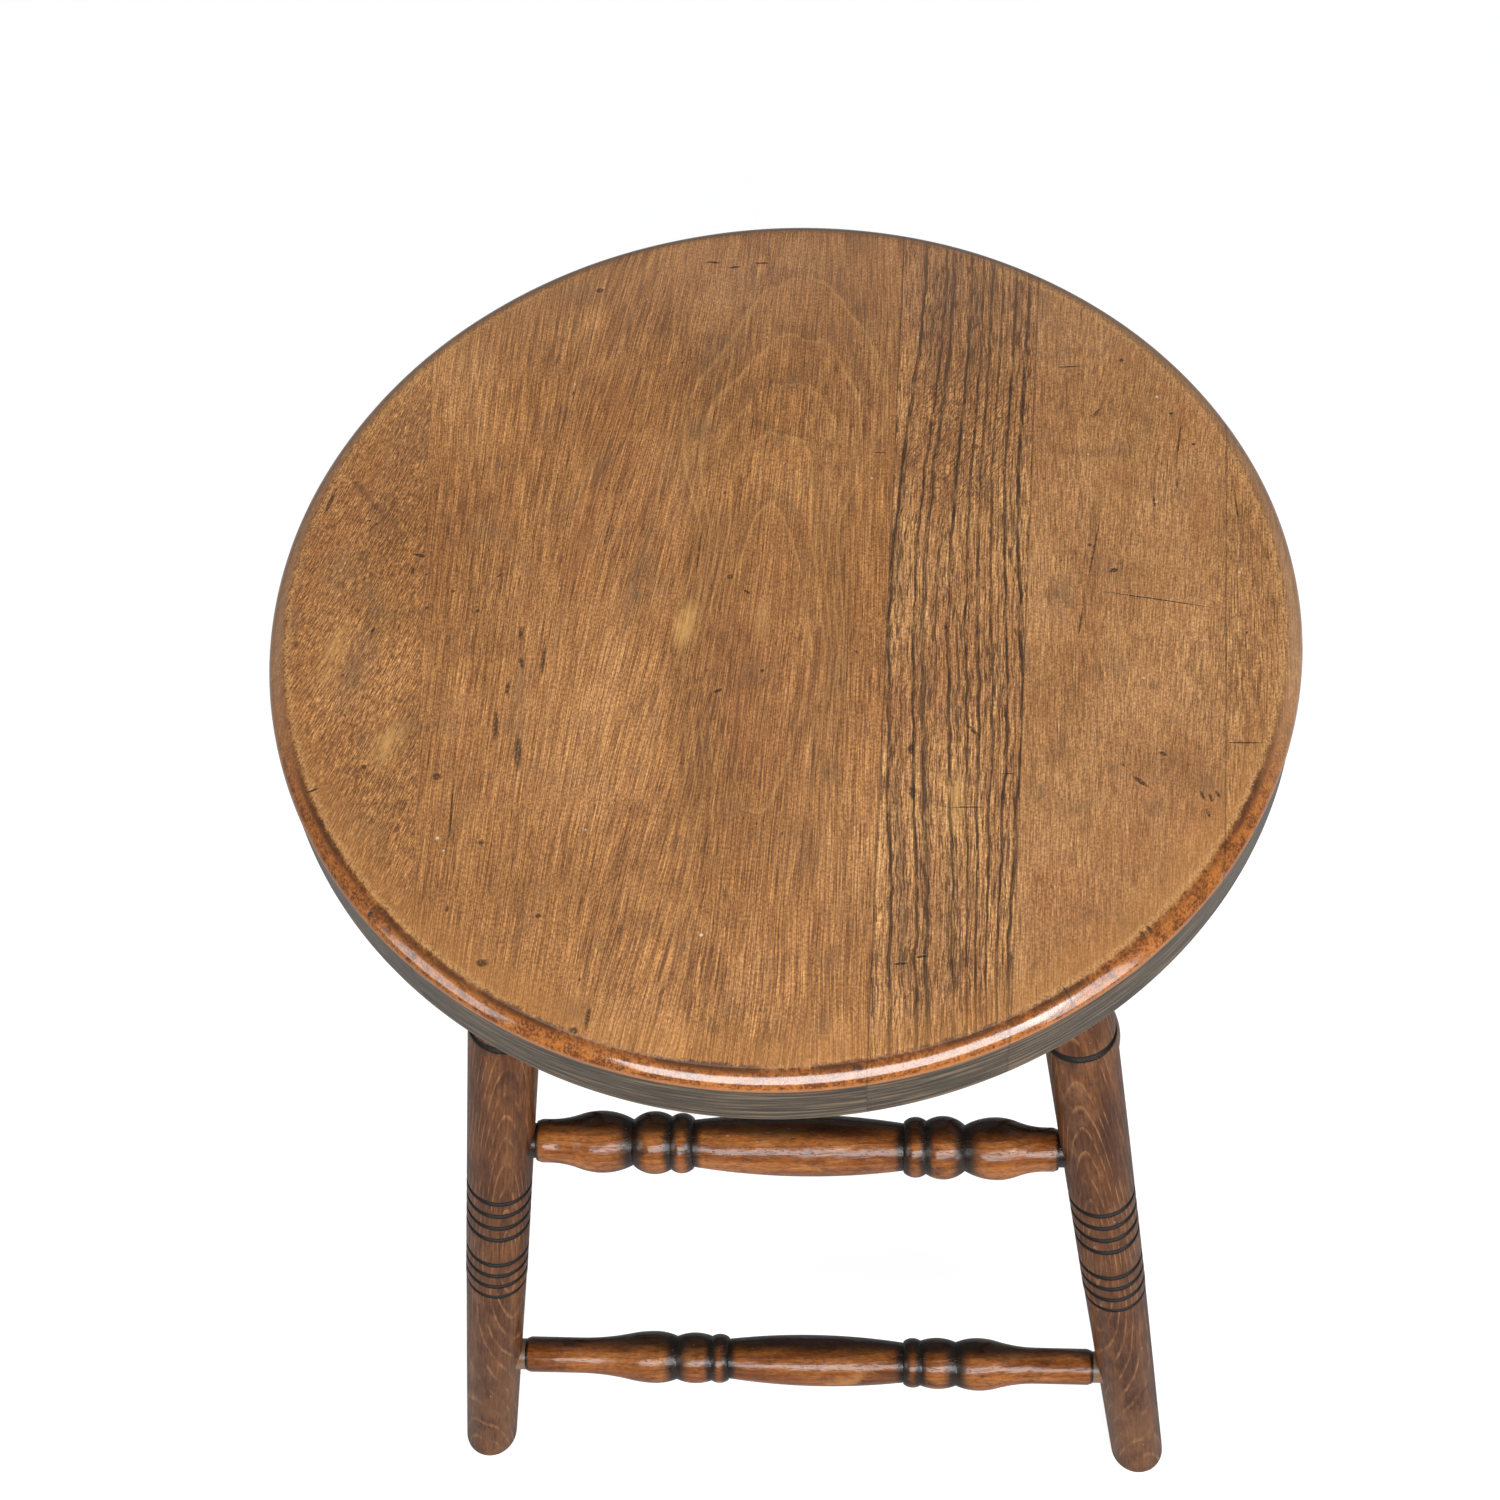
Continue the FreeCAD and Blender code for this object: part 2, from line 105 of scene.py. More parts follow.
# Node helper
class Net:
    """A node tree under construction: numbers or sockets go in, a socket comes out."""

    def __init__(self, owner):
        self.owner = owner
        owner.use_nodes = True
        self.tree = owner.node_tree
        self.tree.nodes.clear()

    def add(self, kind, inputs=(), output=0, **settings):
        node = self.tree.nodes.new("ShaderNode" + kind)
        for key, value in settings.items():
            setattr(node, key, value)
        for key, value in dict(inputs).items():
            self.put(node.inputs[key], value)
        return node.outputs[output]

    def put(self, socket, value):
        if isinstance(value, bpy.types.NodeSocket):
            self.tree.links.new(value, socket)
        elif value is not None:
            if isinstance(value, tuple):
                value += (1.0,) * (len(socket.default_value) - len(value))
            socket.default_value = value

    def math(self, operation, a, b=None):
        return self.add("Math", {0: a, 1: b}, operation=operation)

    def plus(self, a, b):
        return self.math("ADD", a, b)

    def minus(self, a, b):
        return self.math("SUBTRACT", a, b)

    def times(self, a, b):
        return self.math("MULTIPLY", a, b)

    def swing(self, value, amount):
        """A noise about 0.5 as a swing about 0."""
        return self.times(self.minus(value, 0.5), amount)

    def size(self, value):
        return self.math("ABSOLUTE", value)

    def most(self, a, b):
        """The larger of two masks, of which the first may be None."""
        return b if a is None else self.math("MAXIMUM", a, b)

    def step(self, value, low, high, to_low=0.0, to_high=1.0):
        """Smooth rise from to_low at low to to_high at high; low may be above high."""
        return self.add("MapRange", {0: value, 1: low, 2: high, 3: to_low, 4: to_high},
                        interpolation_type="SMOOTHSTEP")

    def vector(self, x, y, z=0.0):
        return self.add("CombineXYZ", {0: x, 1: y, 2: z})

    def noise(self, at, scale=1.0, detail=2.0, rough=0.5):
        """Noise at a place, which is a vector socket or its x, y and z."""
        at = self.vector(*at) if isinstance(at, tuple) else at
        return self.add("TexNoise", {"Vector": at, "Scale": scale, "Detail": detail, "Roughness": rough})

    def cells(self, at, scale):
        return self.add("TexVoronoi", {"Vector": self.vector(*at), "Scale": scale})

    def ramp(self, value, *stops):
        node = self.tree.nodes.new("ShaderNodeValToRGB")
        elements = node.color_ramp.elements
        while len(elements) < len(stops):
            elements.new(0.5)
        for element, (place, colour) in zip(elements, stops):
            element.position = place
            element.color = (*colour, 1.0)
        self.put(node.inputs[0], value)
        return node.outputs[0]

    def mix(self, amount, a, b, way="MIX"):
        node = self.tree.nodes.new("ShaderNodeMix")
        node.data_type = "RGBA"
        node.blend_type = way
        self.put(node.inputs[0], amount)
        self.put(node.inputs[MIX_A], a)
        self.put(node.inputs[MIX_B], b)
        return node.outputs[MIX_RESULT]

    def bump(self, height, distance, strength, normal=None):
        return self.add("Bump", {"Height": height, "Distance": distance, "Strength": strength,
                                 "Normal": normal})

    def finish(self, surface, kind="Material"):
        out = self.tree.nodes.new("ShaderNodeOutput" + kind)
        self.tree.links.new(surface, out.inputs["Surface"])
        return self.owner


def place(net):
    """Object coordinates in millimetres as three sockets."""
    coords = net.add("TexCoord", output="Object")
    scaled = net.add("VectorMath", {0: coords, 3: 1000.0}, operation="SCALE")
    node = net.tree.nodes.new("ShaderNodeSeparateXYZ")
    net.put(node.inputs[0], scaled)
    return node.outputs[0], node.outputs[1], node.outputs[2]


def spot(net, flat, centre, radii, turn=0.0, soft=0.6):
    """Soft oval mask on the seat in millimetres, flat being (x, y, 1): 1 inside, 0 outside."""
    cos, sin = math.cos(math.radians(turn)), math.sin(math.radians(turn))
    squares = []
    for (ax, ay), radius in (((cos, sin), radii[0]), ((-sin, cos), radii[1])):
        row = (ax / radius, ay / radius, -(ax * centre[0] + ay * centre[1]) / radius)
        off = net.add("VectorMath", {0: flat, 1: row}, output="Value", operation="DOT_PRODUCT")
        squares.append(net.times(off, off))
    return net.step(net.math("SQRT", net.plus(*squares)), 1.0, 1.0 - soft)


# The seat's wood
def growth_loops(net, x, y, colour, loops, tones):
    """Nested arches: at each level a thin pale line with a shade fading away outside it."""
    sway = net.noise((x, net.times(y, 0.4)), 0.06, 4, 0.62)
    rise = net.times(net.size(net.minus(y, loops["y"])), 1 / loops["long"])
    wide = net.step(rise, 0.7, 1.9, loops["wide"], loops["wide"] * 2.2)
    centre = net.step(y, 40, 125, loops["x"], loops["x"] + 8)
    aside = net.math("DIVIDE", net.size(net.minus(x, centre)), wide)
    far = net.plus(net.plus(net.times(aside, aside), rise), net.swing(sway, 0.36))
    thick = net.plus(net.times(aside, 0.075), 0.014)
    pale = shade = None
    for level in loops["levels"]:
        off = net.math("DIVIDE", net.minus(far, level), thick)
        line = net.times(net.step(off, -1.3, -0.4), net.step(off, 0.3, -0.1))
        outside = net.times(net.step(off, -0.1, 0.6), net.step(off, 8, 0.6))
        pale = net.most(pale, line)
        shade = net.most(shade, outside)
    worn = net.step(net.noise((x, net.times(y, 0.5), 4), 0.05, 3), 0.36, 0.56, 0.45, 1)
    worn = net.times(worn, net.step(y, -110, -60, 0.35, 1))
    colour = net.mix(net.times(net.times(shade, worn), 0.25), colour, tones["dark"])
    return net.mix(net.times(net.times(pale, worn), 0.26), colour, tones["light"])


def coarse_grain(net, x, y, colour, s):
    """Dark growth lines, open pores and slanting flecks; also how deep each place is."""
    left = net.plus(net.step(y, -10, 175, 0, 13), net.step(y, -50, -110))
    right = net.plus(net.step(y, 30, 165, 0, 7), net.step(y, -30, -160, 0, -8))
    bend = net.plus(left, net.times(net.minus(right, left), net.step(x, 52, 78)))
    waver = net.noise((net.times(x, 0.1), y), 0.05, 3)
    jagged = net.noise((net.times(x, 0.35), net.times(y, 0.16)), 1, 2, 0.6)
    flow = net.plus(net.minus(x, bend), net.swing(waver, 2.8))
    flow = net.plus(flow, net.swing(jagged, 0.9))

    straight = net.vector(net.times(flow, 1 / 0.52), net.times(y, 1 / 8))
    slanted = net.vector(net.times(net.minus(flow, net.times(y, 0.42)), 1 / 0.85), net.times(y, 1 / 3.4))
    snake = net.times(spot(net, net.vector(x, y, 1), (62, 72), (30, 52), 4, 0.6), 0.9)
    crowd = net.noise((net.times(flow, 0.22), net.times(y, 0.012)), 1, 2)
    limit = net.step(crowd, 0.3, 0.7, 0.6, 0.5)
    pores = net.step(net.minus(net.noise(straight, 1, 2, 0.6), limit), 0, 0.08)
    pores = net.times(pores, net.step(snake, 0.8, 0.2, 0.45, 1))
    flecks = net.step(net.noise(slanted, 1, 2, 0.6), 0.52, 0.61)
    pores = net.most(pores, net.times(flecks, snake))
    broken = net.noise((net.times(flow, 1 / 1.2), net.times(y, 1 / 14)), 1, 3, 0.65)
    broken = net.step(broken, 0.34, 0.56, 0.35, 1)
    lines = None
    for centre, half, depth in s["lines"]:
        off = net.size(net.minus(flow, centre))
        lines = net.most(lines, net.step(off, half * 0.8, half * 0.25, 0, depth))
    lines = net.times(lines, broken)
    greyed = net.step(crowd, 0.5, 0.72, 0, 0.4)
    colour = net.mix(greyed, colour, s["grey"])
    colour = net.mix(net.times(pores, 0.88), colour, s["dark"])
    colour = net.mix(lines, colour, s["line_black"])
    return colour, net.most(net.times(pores, 0.7), lines)


def grain_places(net, x, y, s):
    """Places across and along the grain, which turns by each slant in turn across the board."""
    (first, slant), *others = s["slant"]
    wander = net.noise((x, net.times(y, 0.5)), 0.018, 2)
    turn = net.plus(net.swing(wander, s["wander"]), math.radians(slant))
    for at, next_slant in others:
        turn = net.plus(turn, net.step(x, first, at, 0, math.radians(next_slant - slant)))
        first, slant = at, next_slant
    cos, sin = net.math("COSINE", turn), net.math("SINE", turn)
    across = net.plus(net.minus(net.times(x, cos), net.times(y, sin)), s["seed"])
    along = net.plus(net.plus(net.times(x, sin), net.times(y, cos)), s["seed"] * 3.1)
    return across, along


def grime_and_specks(net, x, y, z, colour, s):
    """Grime, tiny dark specks and pale chips; also the grime alone."""
    seed = s["seed"]
    grime = net.noise((net.plus(x, seed), net.times(y, 0.8), z), 0.06, 4, 0.7)
    colour = net.mix(net.step(grime, 0.52, 0.76, 0, s["grime"]), colour, s["grey"])
    where = net.step(net.noise((x, y, net.plus(z, 7)), 0.04, 2), 0.45, 0.65)
    speck = net.cells((net.plus(x, seed), net.times(y, 0.6), z), 0.16)
    dots = net.times(net.step(speck, 0.08, 0.045, 0, 0.75), where)
    colour = net.mix(dots, colour, s["black"])
    chip = net.cells((net.plus(x, 40.0 + seed), y, z), 0.05)
    return net.mix(net.step(chip, 0.026, 0.016, 0, 0.7), colour, SEAT_CHIP), grime


def dark_marks(net, x, y, flat, marks):
    """Mask of the board's dark marks, folded together one by one and crumbled."""
    mask = None
    for mark in marks:
        mask = net.most(mask, spot(net, flat, mark[:2], mark[2:4], mark[4], 0.6))
    crumb = net.step(net.noise((x, y), 0.9, 2, 0.7), 0.3, 0.55, 0.35, 1)
    return net.times(mask, crumb)


def inside_outline(net, x, y):
    """How far a place lies inside the seat's oval outline, in millimetres."""
    turned = math.radians(SEAT_TURN)
    ex = net.minus(net.times(x, math.cos(turned)), net.times(y, math.sin(turned)))
    ey = net.plus(net.times(y, math.cos(turned)), net.times(x, math.sin(turned)))
    ex, ey = net.times(ex, 2 / SEAT_WIDTH), net.times(ey, 2 / SEAT_DEPTH)
    out = net.math("SQRT", net.plus(net.times(ex, ex), net.times(ey, ey)))
    return net.times(net.minus(1, out), (SEAT_WIDTH + SEAT_DEPTH) / 4)


def rim_finish(net, x, y, z, stipple, colour):
    """Amber finish in front with a burnt ragged line, a painted highlight along the inner border of the
    rounding at the sides, pale wear behind.

    Also how far in each place lies, and the rim's own noise.
    """
    inward = inside_outline(net, x, y)
    rim_grain = net.noise((x, y, z), 0.2, 4, 0.7)
    ragged = net.plus(inward, net.swing(rim_grain, 3.4))
    ragged = net.plus(ragged, net.swing(stipple, 1.8))
    front = net.step(y, FRONT_START, FRONT_WHOLE, 0.1, 1)
    warm = net.times(net.step(inward, *RIM["warm"]), front)
    colour = net.mix(net.times(warm, 0.4), colour, RIM_WARM)
    mottle = net.step(net.plus(net.times(rim_grain, 0.5), net.times(stipple, 0.5)), 0.39, 0.61)
    amber = net.mix(mottle, AMBER_DARK, AMBER_LIGHT)
    amber = net.mix(net.step(z, *AMBER_LOW_FROM, 0, 0.8), amber, AMBER_LOW)
    colour = net.mix(net.times(net.step(ragged, *RIM["amber"]), front), colour, amber)
    burnt = net.times(net.step(ragged, *RIM["burnt"]), net.step(ragged, *RIM["burnt_end"]))
    char = net.step(net.noise((x, y, 3), 0.035, 3), 0.4, 0.58, 0.35, 0.85)
    colour = net.mix(net.times(net.times(burnt, front), char), colour, RIM_BURNT)
    pale = net.times(net.step(inward, *RIM["pale"]), net.step(y, FRONT_START, FRONT_WHOLE, 1, 0))
    colour = net.mix(net.times(pale, 0.5), colour, RIM_PALE)
    # Painted highlight: a pale broken line along the inner border of the rounding, on the left and right
    painted_highlight = net.times(net.step(ragged, *RIM["painted_highlight"]), net.step(inward, *RIM["painted_highlight_end"]))
    painted_highlight = net.times(painted_highlight, net.step(net.size(x), 62, 95, 0, 0.55))
    painted_highlight = net.times(painted_highlight, net.step(stipple, 0.38, 0.6))
    return net.mix(painted_highlight, colour, RIM_PAINTED_HIGHLIGHT), inward, rim_grain


def side_and_under(net, x, y, z, fibre, seed, colour):
    """Dark streaked side, pale lower arris and bare underside; also the streaks and two masks."""
    around = net.math("ARCTAN2", y, x)
    lines = net.noise((net.times(around, 6), net.times(z, 0.85), seed), 1, 3, 0.62)
    side_tone = net.ramp(lines, *SIDE_TONES)
    side = net.step(z, *SIDE_FROM)
    colour = net.mix(side, colour, side_tone)
    arris = net.times(net.step(z, *ARRIS_FROM), net.step(z, *ARRIS_END))
    colour = net.mix(net.times(arris, 0.5), colour, ARRIS_PALE)
    below = net.step(z, *UNDER_FROM)
    under_tone = net.mix(net.step(fibre, 0.3, 0.7), UNDER_DARK, UNDER_LIGHT)
    return net.mix(below, colour, under_tone), lines, side, below


def seat_material(board, s):
    net = Net(bpy.data.materials.new(f"seat_{board}"))
    x, y, z = place(net)
    flat = net.vector(x, y, 1)
    seed = s["seed"]
    across, along = grain_places(net, x, y, s)

    def grain(width, length, detail=2, rough=0.55):
        return net.noise((net.times(across, 1 / width), net.times(along, 1 / length)), 1, detail, rough)

    # Broad tone, soft streaks and fine fibre
    cloud = net.noise((net.plus(x, seed), net.times(y, 0.6), z), 0.026, 3, 0.55)
    streak = grain(2.6, 70, 4, 0.65)
    fibre = grain(0.44, s["fibre"], 2, 0.6)
    hair = grain(0.27, s["hair"], 1, 0.6)
    stipple = net.noise((x, net.times(y, 0.8), z), 1.25, 2, 0.7)
    tone = net.plus(net.times(cloud, 0.5), net.times(streak, 0.5))
    colour = net.ramp(net.step(tone, 0.32, 0.68), *s["tones"])
    blush = net.noise((net.plus(x, seed * 5), net.times(y, 0.45)), 0.022, 3, 0.6)
    colour = net.mix(net.step(blush, 0.48, 0.7, 0, 0.45), colour, s["red"])
    light = net.times(net.step(fibre, 0.32, 0.68, 1 - s["contrast"], 1 + s["contrast"]),
                      net.step(hair, 0.32, 0.68, 1 - s["contrast"], 1 + s["contrast"]))
    light = net.times(light, net.step(stipple, 0.3, 0.7, 1 - s["stipple"], 1 + s["stipple"]))
    warmer = net.math("POWER", light, 1.14)
    colour = net.mix(1, colour, net.vector(light, warmer, warmer), "MULTIPLY")
    if "loops" in s:
        colour = growth_loops(net, x, y, colour, s["loops"], s)
    if "lines" in s:
        colour, groove = coarse_grain(net, x, y, colour, s)
    else:
        rich = net.noise((x, net.times(y, 0.4), net.plus(z, seed)), 0.035, 2)
        limit = net.step(rich, 0.35, 0.7, 0.7, 0.58)
        groove = net.step(net.minus(grain(0.5, s["pore"], 1), limit), 0, 0.05)
        colour = net.mix(net.times(groove, s["pores"]), colour, s["dark"])
        scratch = net.step(net.minus(grain(0.55, s["fibre"] * 2.2, 1), limit), 0, 0.07)
        colour = net.mix(net.times(scratch, 0.45), colour, s["dark"])
    colour, grime = grime_and_specks(net, x, y, z, colour, s)

    # Tinted places, seen through the grain, then white specks and a painted sheen at the back
    frayed = net.noise((net.times(across, 1.3), net.times(along, 0.13)), 0.5, 3, 0.65)
    for tint, *oval, angle, strength in s.get("tints", ()):
        mask = spot(net, flat, oval[:2], oval[2:], angle, 0.95)
        mask = net.times(mask, net.step(frayed, 0.28, 0.62))
        colour = net.mix(net.times(mask, strength), colour, s[tint])
    marks = dark_marks(net, x, y, flat, s["marks"])
    for *centre, size in s.get("white", ()):
        dot = spot(net, flat, centre, (size * 0.7, size * 0.6), 20.0, 0.5)
        colour = net.mix(dot, colour, WHITE_SPECK)
    # Painted sheen: a pale grey veil growing towards the back of the top
    painted_sheen = net.step(y, 75, 165, 0, 0.3)
    colour = net.mix(painted_sheen, colour, PAINTED_BACK_SHEEN)

    # The rounded edge, then the dark marks over it, then the side and the underside
    colour, inward, rim_grain = rim_finish(net, x, y, z, stipple, colour)
    colour = net.mix(net.times(marks, 0.78), colour, s["black"])
    colour, lines, side, below = side_and_under(net, x, y, z, fibre, seed, colour)

    # Glue lines: a thin dark line along each edge of the board
    for (crossing, lean), dark in s["seams"]:
        off = net.minus(net.minus(x, crossing), net.times(y, math.tan(math.radians(lean))))
        line = net.step(net.size(off), GLUE_LINE_HALF, GLUE_LINE_CORE, 0, dark)
        colour = net.mix(line, colour, s["black"])

    # Gloss: worn satin top, polished and coated edge, duller side and underside
    nicked = net.step(rim_grain, 0.56, 0.74, 0, 0.12)
    rough = net.plus(net.step(fibre, 0.2, 0.8, 0.52, 0.42), net.step(grime, 0.5, 0.75, 0, 0.08))
    polish = net.step(inward, *RIM["polish"])
    rough = net.plus(net.times(rough, net.minus(1, polish)), net.times(polish, net.plus(nicked, 0.13)))
    coat = net.times(polish, net.minus(1, side))
    rough = net.plus(rough, net.times(side, 0.2))
    rough = net.plus(rough, net.times(below, 0.25))

    # Relief: fibre, pores and marks, nearly smooth on the polished edge, streaks on the side
    height = net.minus(net.plus(net.times(fibre, 0.4), net.times(hair, 0.28)),
                       net.times(groove, s["pore_depth"]))
    height = net.minus(height, net.times(marks, 1.4))
    height = net.times(height, net.step(polish, 0, 1, 1, 0.12))
    height = net.plus(height, net.times(net.times(lines, side), 0.9))
    normal = net.bump(height, 0.00024, 0.9)
    normal = net.bump(net.noise((x, y, z), 0.05, 2), 0.001, 0.5, normal)
    shader = net.add("BsdfPrincipled", {"Base Color": colour, "Roughness": rough, "Normal": normal,
                                        "IOR": 1.46, "Coat Weight": coat, "Coat Roughness": 0.1})
    return net.finish(shader)


# The turned pieces' wood
def turned_material(name, s):
    """Wood of a turned piece; its own Z runs along the grain, in millimetres from the middle."""
    net = Net(bpy.data.materials.new(name))
    x, y, z = place(net)
    seed = s["seed"]
    cavity = net.add("Attribute", attribute_name="cavity", output="Fac")

    # Growth layers of the log, cut by the turning into nested points and long lines
    px = net.plus(net.plus(x, s["pith"][0]), net.times(z, s["tilt"][0]))
    py = net.plus(net.plus(y, s["pith"][1]), net.times(z, s["tilt"][1]))
    sway = net.noise((x, y, net.times(net.plus(z, seed * 9), 0.16)), 0.055, 3)
    far = net.math("SQRT", net.plus(net.times(px, px), net.times(py, py)))
    far = net.plus(far, net.swing(sway, s["sway"]))
    phase = net.math("FRACT", net.times(far, 1 / s["ring"]))
    line = net.times(net.step(phase, 0.7, 0.93), net.step(phase, 1, 0.97))
    broken = net.noise((x, y, net.times(z, 0.3)), 0.16, 3, 0.6)
    line = net.times(line, net.step(broken, 0.42, 0.6, 0.15, 1))
    ramped = net.step(phase, 0, 1)

    fibre = net.noise((net.plus(x, seed), y, net.times(z, 1 / s["fibre"])), 1.15, 3, 0.62)
    streak = net.noise((net.plus(x, seed), y, net.times(z, 0.06)), 0.16, 3)
    cloud = net.noise((x, net.plus(y, seed), net.times(z, 0.35)), 0.05, 3, 0.6)
    tone = net.plus(net.times(cloud, 0.5), net.times(streak, 0.5))
    colour = net.ramp(net.step(tone, 0.3, 0.7), *s["tones"])
    colour = net.mix(net.times(ramped, s["band"]), colour, s["dark"])
    colour = net.mix(net.times(line, s["line"]), colour, s["line_colour"])
    light = net.step(fibre, 0.28, 0.72, 1 - s["contrast"], 1 + s["contrast"])
    colour = net.mix(1, colour, net.vector(light, light, light), "MULTIPLY")
    fleck = net.noise((net.plus(x, seed), y, net.times(z, 0.2)), 1.7, 1)
    colour = net.mix(net.step(fleck, 0.64, 0.72, 0, 0.55), colour, s["dark"])

    # Wear to a lighter wood, and grime
    worn = net.noise((x, net.plus(y, seed * 2), net.times(z, 0.45)), 0.085, 4, 0.65)
    colour = net.mix(net.step(worn, 0.56, 0.76, 0, s["wear"]), colour, s["light"])
    grime = net.noise((net.plus(x, 31), y, net.times(z, 0.6)), 0.12, 4, 0.7)
    colour = net.mix(net.step(grime, 0.5, 0.74, 0, s["grime"]), colour, s["dark"])
    for centre, reach, sides, strength, which in s.get("patches", ()):
        near = net.step(net.size(net.minus(z, centre)), reach, reach * 0.2)
        facing = net.step(net.plus(net.times(x, sides[0]), net.times(y, sides[1])), 2, 8)
        mask = net.times(net.times(near, facing), net.step(worn, 0.34, 0.52))
        colour = net.mix(net.times(mask, strength), colour, s[which])
    chip = net.cells((net.plus(x, seed), y, net.times(z, 0.5)), 0.12)
    colour = net.mix(net.step(chip, 0.05, 0.03, 0, 0.55), colour, TURNED_CHIP)

    # Painted shade, darker towards the side that faces up and in under the seat
    if "shade" in s:
        (to_x, to_y), low, high, strength = s["shade"]
        facing = net.plus(net.times(x, to_x), net.times(y, to_y))
        facing = net.plus(facing, net.swing(worn, 5))
        colour = net.mix(net.step(facing, low, high, 0, strength), colour, s["black"])

    # Black left in the hollows
    ragged = net.plus(cavity, net.swing(grime, 0.3))
    low, high, strength = s["hollow"]
    hollow = net.step(ragged, low, high)
    colour = net.mix(net.times(hollow, strength), colour, s["black"])

    # The bare tenon past each shoulder
    if "bare" in s:
        past = net.step(net.size(z), s["bare"] + 0.25, s["bare"] + 0.45)
        colour = net.mix(past, colour, net.mix(grime, s["black"], BARE_TENON))

    # Gloss and relief
    rough = net.plus(net.step(fibre, 0.2, 0.8, *s["rough"]), net.times(hollow, 0.1))
    height = net.minus(net.times(fibre, 0.35), net.step(fleck, 0.64, 0.72, 0, 0.5))
    height = net.plus(height, net.times(line, 0.25))
    normal = net.bump(height, 0.00016, 0.8)
    slow = net.noise((x, y, net.times(z, 0.6)), 0.13, 2)
    normal = net.bump(slow, 0.0006, s["lumpy"], normal)
    shader = net.add("BsdfPrincipled", {"Base Color": colour, "Roughness": rough, "Normal": normal,
                                        "IOR": s["ior"]})
    return net.finish(shader)


# Meshes
SEAT_POINTS = 420
TOP_ROWS, EDGE_ROWS, SIDE_ROWS, ARRIS_ROWS, UNDER_ROWS = 60, 14, 9, 4, 20
# Wear in millimetres: dip at the centre, mean dip of the top and its two wanders
MIDDLE_DIP, MEAN_DIP, DIP_WANDER, DIP_RIPPLE = 0.06, 0.1, 0.07, 0.05
# Wander of the top edge's rounding, its drop, and the sag of the side
ROUND_WANDER, EDGE_DIP, SIDE_SAG = 0.35, 0.02, 0.1
# The rounding's last row stops just short of its end
LAST_STEP = 0.9999
# A leg's rows are level at the foot and square to its axis from this far up
LEVEL_REACH = 40.0


def ripple(value, seed):
    """Gentle repeatable wander between -1 and 1."""
    return (math.sin(value * 1.7 + seed) + math.sin(value * 3.1 + seed * 2.3) * 0.6
            + math.sin(value * 7.3 + seed * 4.1) * 0.3) / 1.9


def seat_point(angle, inset, z):
    """Point of the oval's outline, set in square to it; millimetres."""
    half_x, half_y = SEAT_WIDTH / 2, SEAT_DEPTH / 2
    px, py = half_x * math.cos(angle), half_y * math.sin(angle)
    nx, ny = math.cos(angle) / half_x, math.sin(angle) / half_y
    size = math.hypot(nx, ny)
    px, py = px - inset * nx / size, py - inset * ny / size
    c, s = math.cos(math.radians(-SEAT_TURN)), math.sin(math.radians(-SEAT_TURN))
    return Vector((px * c - py * s, px * s + py * c, z))


def seat_rows():
    """(kind, part) of each row of the seat's mesh, from the middle of the top to the underside."""
    rows = [("top", ring / TOP_ROWS) for ring in range(1, TOP_ROWS + 1)]
    rows += [("edge", min(step / EDGE_ROWS, LAST_STEP) * math.pi / 2) for step in range(1, EDGE_ROWS + 1)]
    rows += [("side", step / SIDE_ROWS) for step in range(1, SIDE_ROWS)]
    rows += [("arris", step / ARRIS_ROWS * math.pi / 2) for step in range(0, ARRIS_ROWS + 1)]
    rows += [("under", ring / UNDER_ROWS) for ring in range(UNDER_ROWS - 1, 0, -1)]
    return rows


def worn_point(kind, part, angle):
    """Point of the worn seat on one row, in millimetres."""
    radius = SEAT_TOP_ROUND + ROUND_WANDER * ripple(angle * 2.0, 1.3)
    if kind == "top":
        point = seat_point(angle, radius, 0.0) * part
        dip = MEAN_DIP + DIP_WANDER * ripple(point.x * 0.03 + point.y * 0.011, 0.4)
        dip += DIP_RIPPLE * ripple(point.y * 0.05 - point.x * 0.02, 2.2)
        point.z = STOOL_HEIGHT - max(0.0, dip) * min(1.0, (1 - part) * 6 + 0.25)
        return point
    if kind == "edge":
        inset = radius * (1 - math.sin(part) ** EDGE_WEAR)
        drop = radius * (1 - math.cos(part))
        return seat_point(angle, inset, STOOL_HEIGHT - drop - EDGE_DIP)
    if kind == "side":
        high = STOOL_HEIGHT - radius - EDGE_DIP
        low = UNDERSIDE + SEAT_UNDER_ROUND
        sag = SIDE_SAG * math.sin(part * math.pi) * (1 + ripple(angle * 5.0, 0.7))
        return seat_point(angle, sag, high + (low - high) * part)
    if kind == "arris":
        return seat_point(angle, SEAT_UNDER_ROUND * (1 - math.cos(part)),
                          UNDERSIDE + SEAT_UNDER_ROUND * (1 - math.sin(part)))
    point = seat_point(angle, SEAT_UNDER_ROUND, 0.0) * part
    point.z = UNDERSIDE
    return point


def seat_disc():
    """Fine mesh of the whole seat: rows from the middle of the top, over the rim, to the underside."""
    bm = bmesh.new()
    centre_top = bm.verts.new(Vector((0, 0, STOOL_HEIGHT - MIDDLE_DIP)) * MM)
    centre_under = bm.verts.new(Vector((0, 0, UNDERSIDE)) * MM)
    angles = [index / SEAT_POINTS * 2 * math.pi for index in range(SEAT_POINTS)]
    loops = []
    for kind, part in seat_rows():
        loops.append([bm.verts.new(worn_point(kind, part, angle) * MM) for angle in angles])
    for index in range(SEAT_POINTS):
        after = (index + 1) % SEAT_POINTS
        bm.faces.new((centre_top, loops[0][index], loops[0][after]))
        bm.faces.new((centre_under, loops[-1][after], loops[-1][index]))
        for upper, lower in zip(loops, loops[1:]):
            bm.faces.new((upper[index], lower[index], lower[after], upper[after]))
    return bm


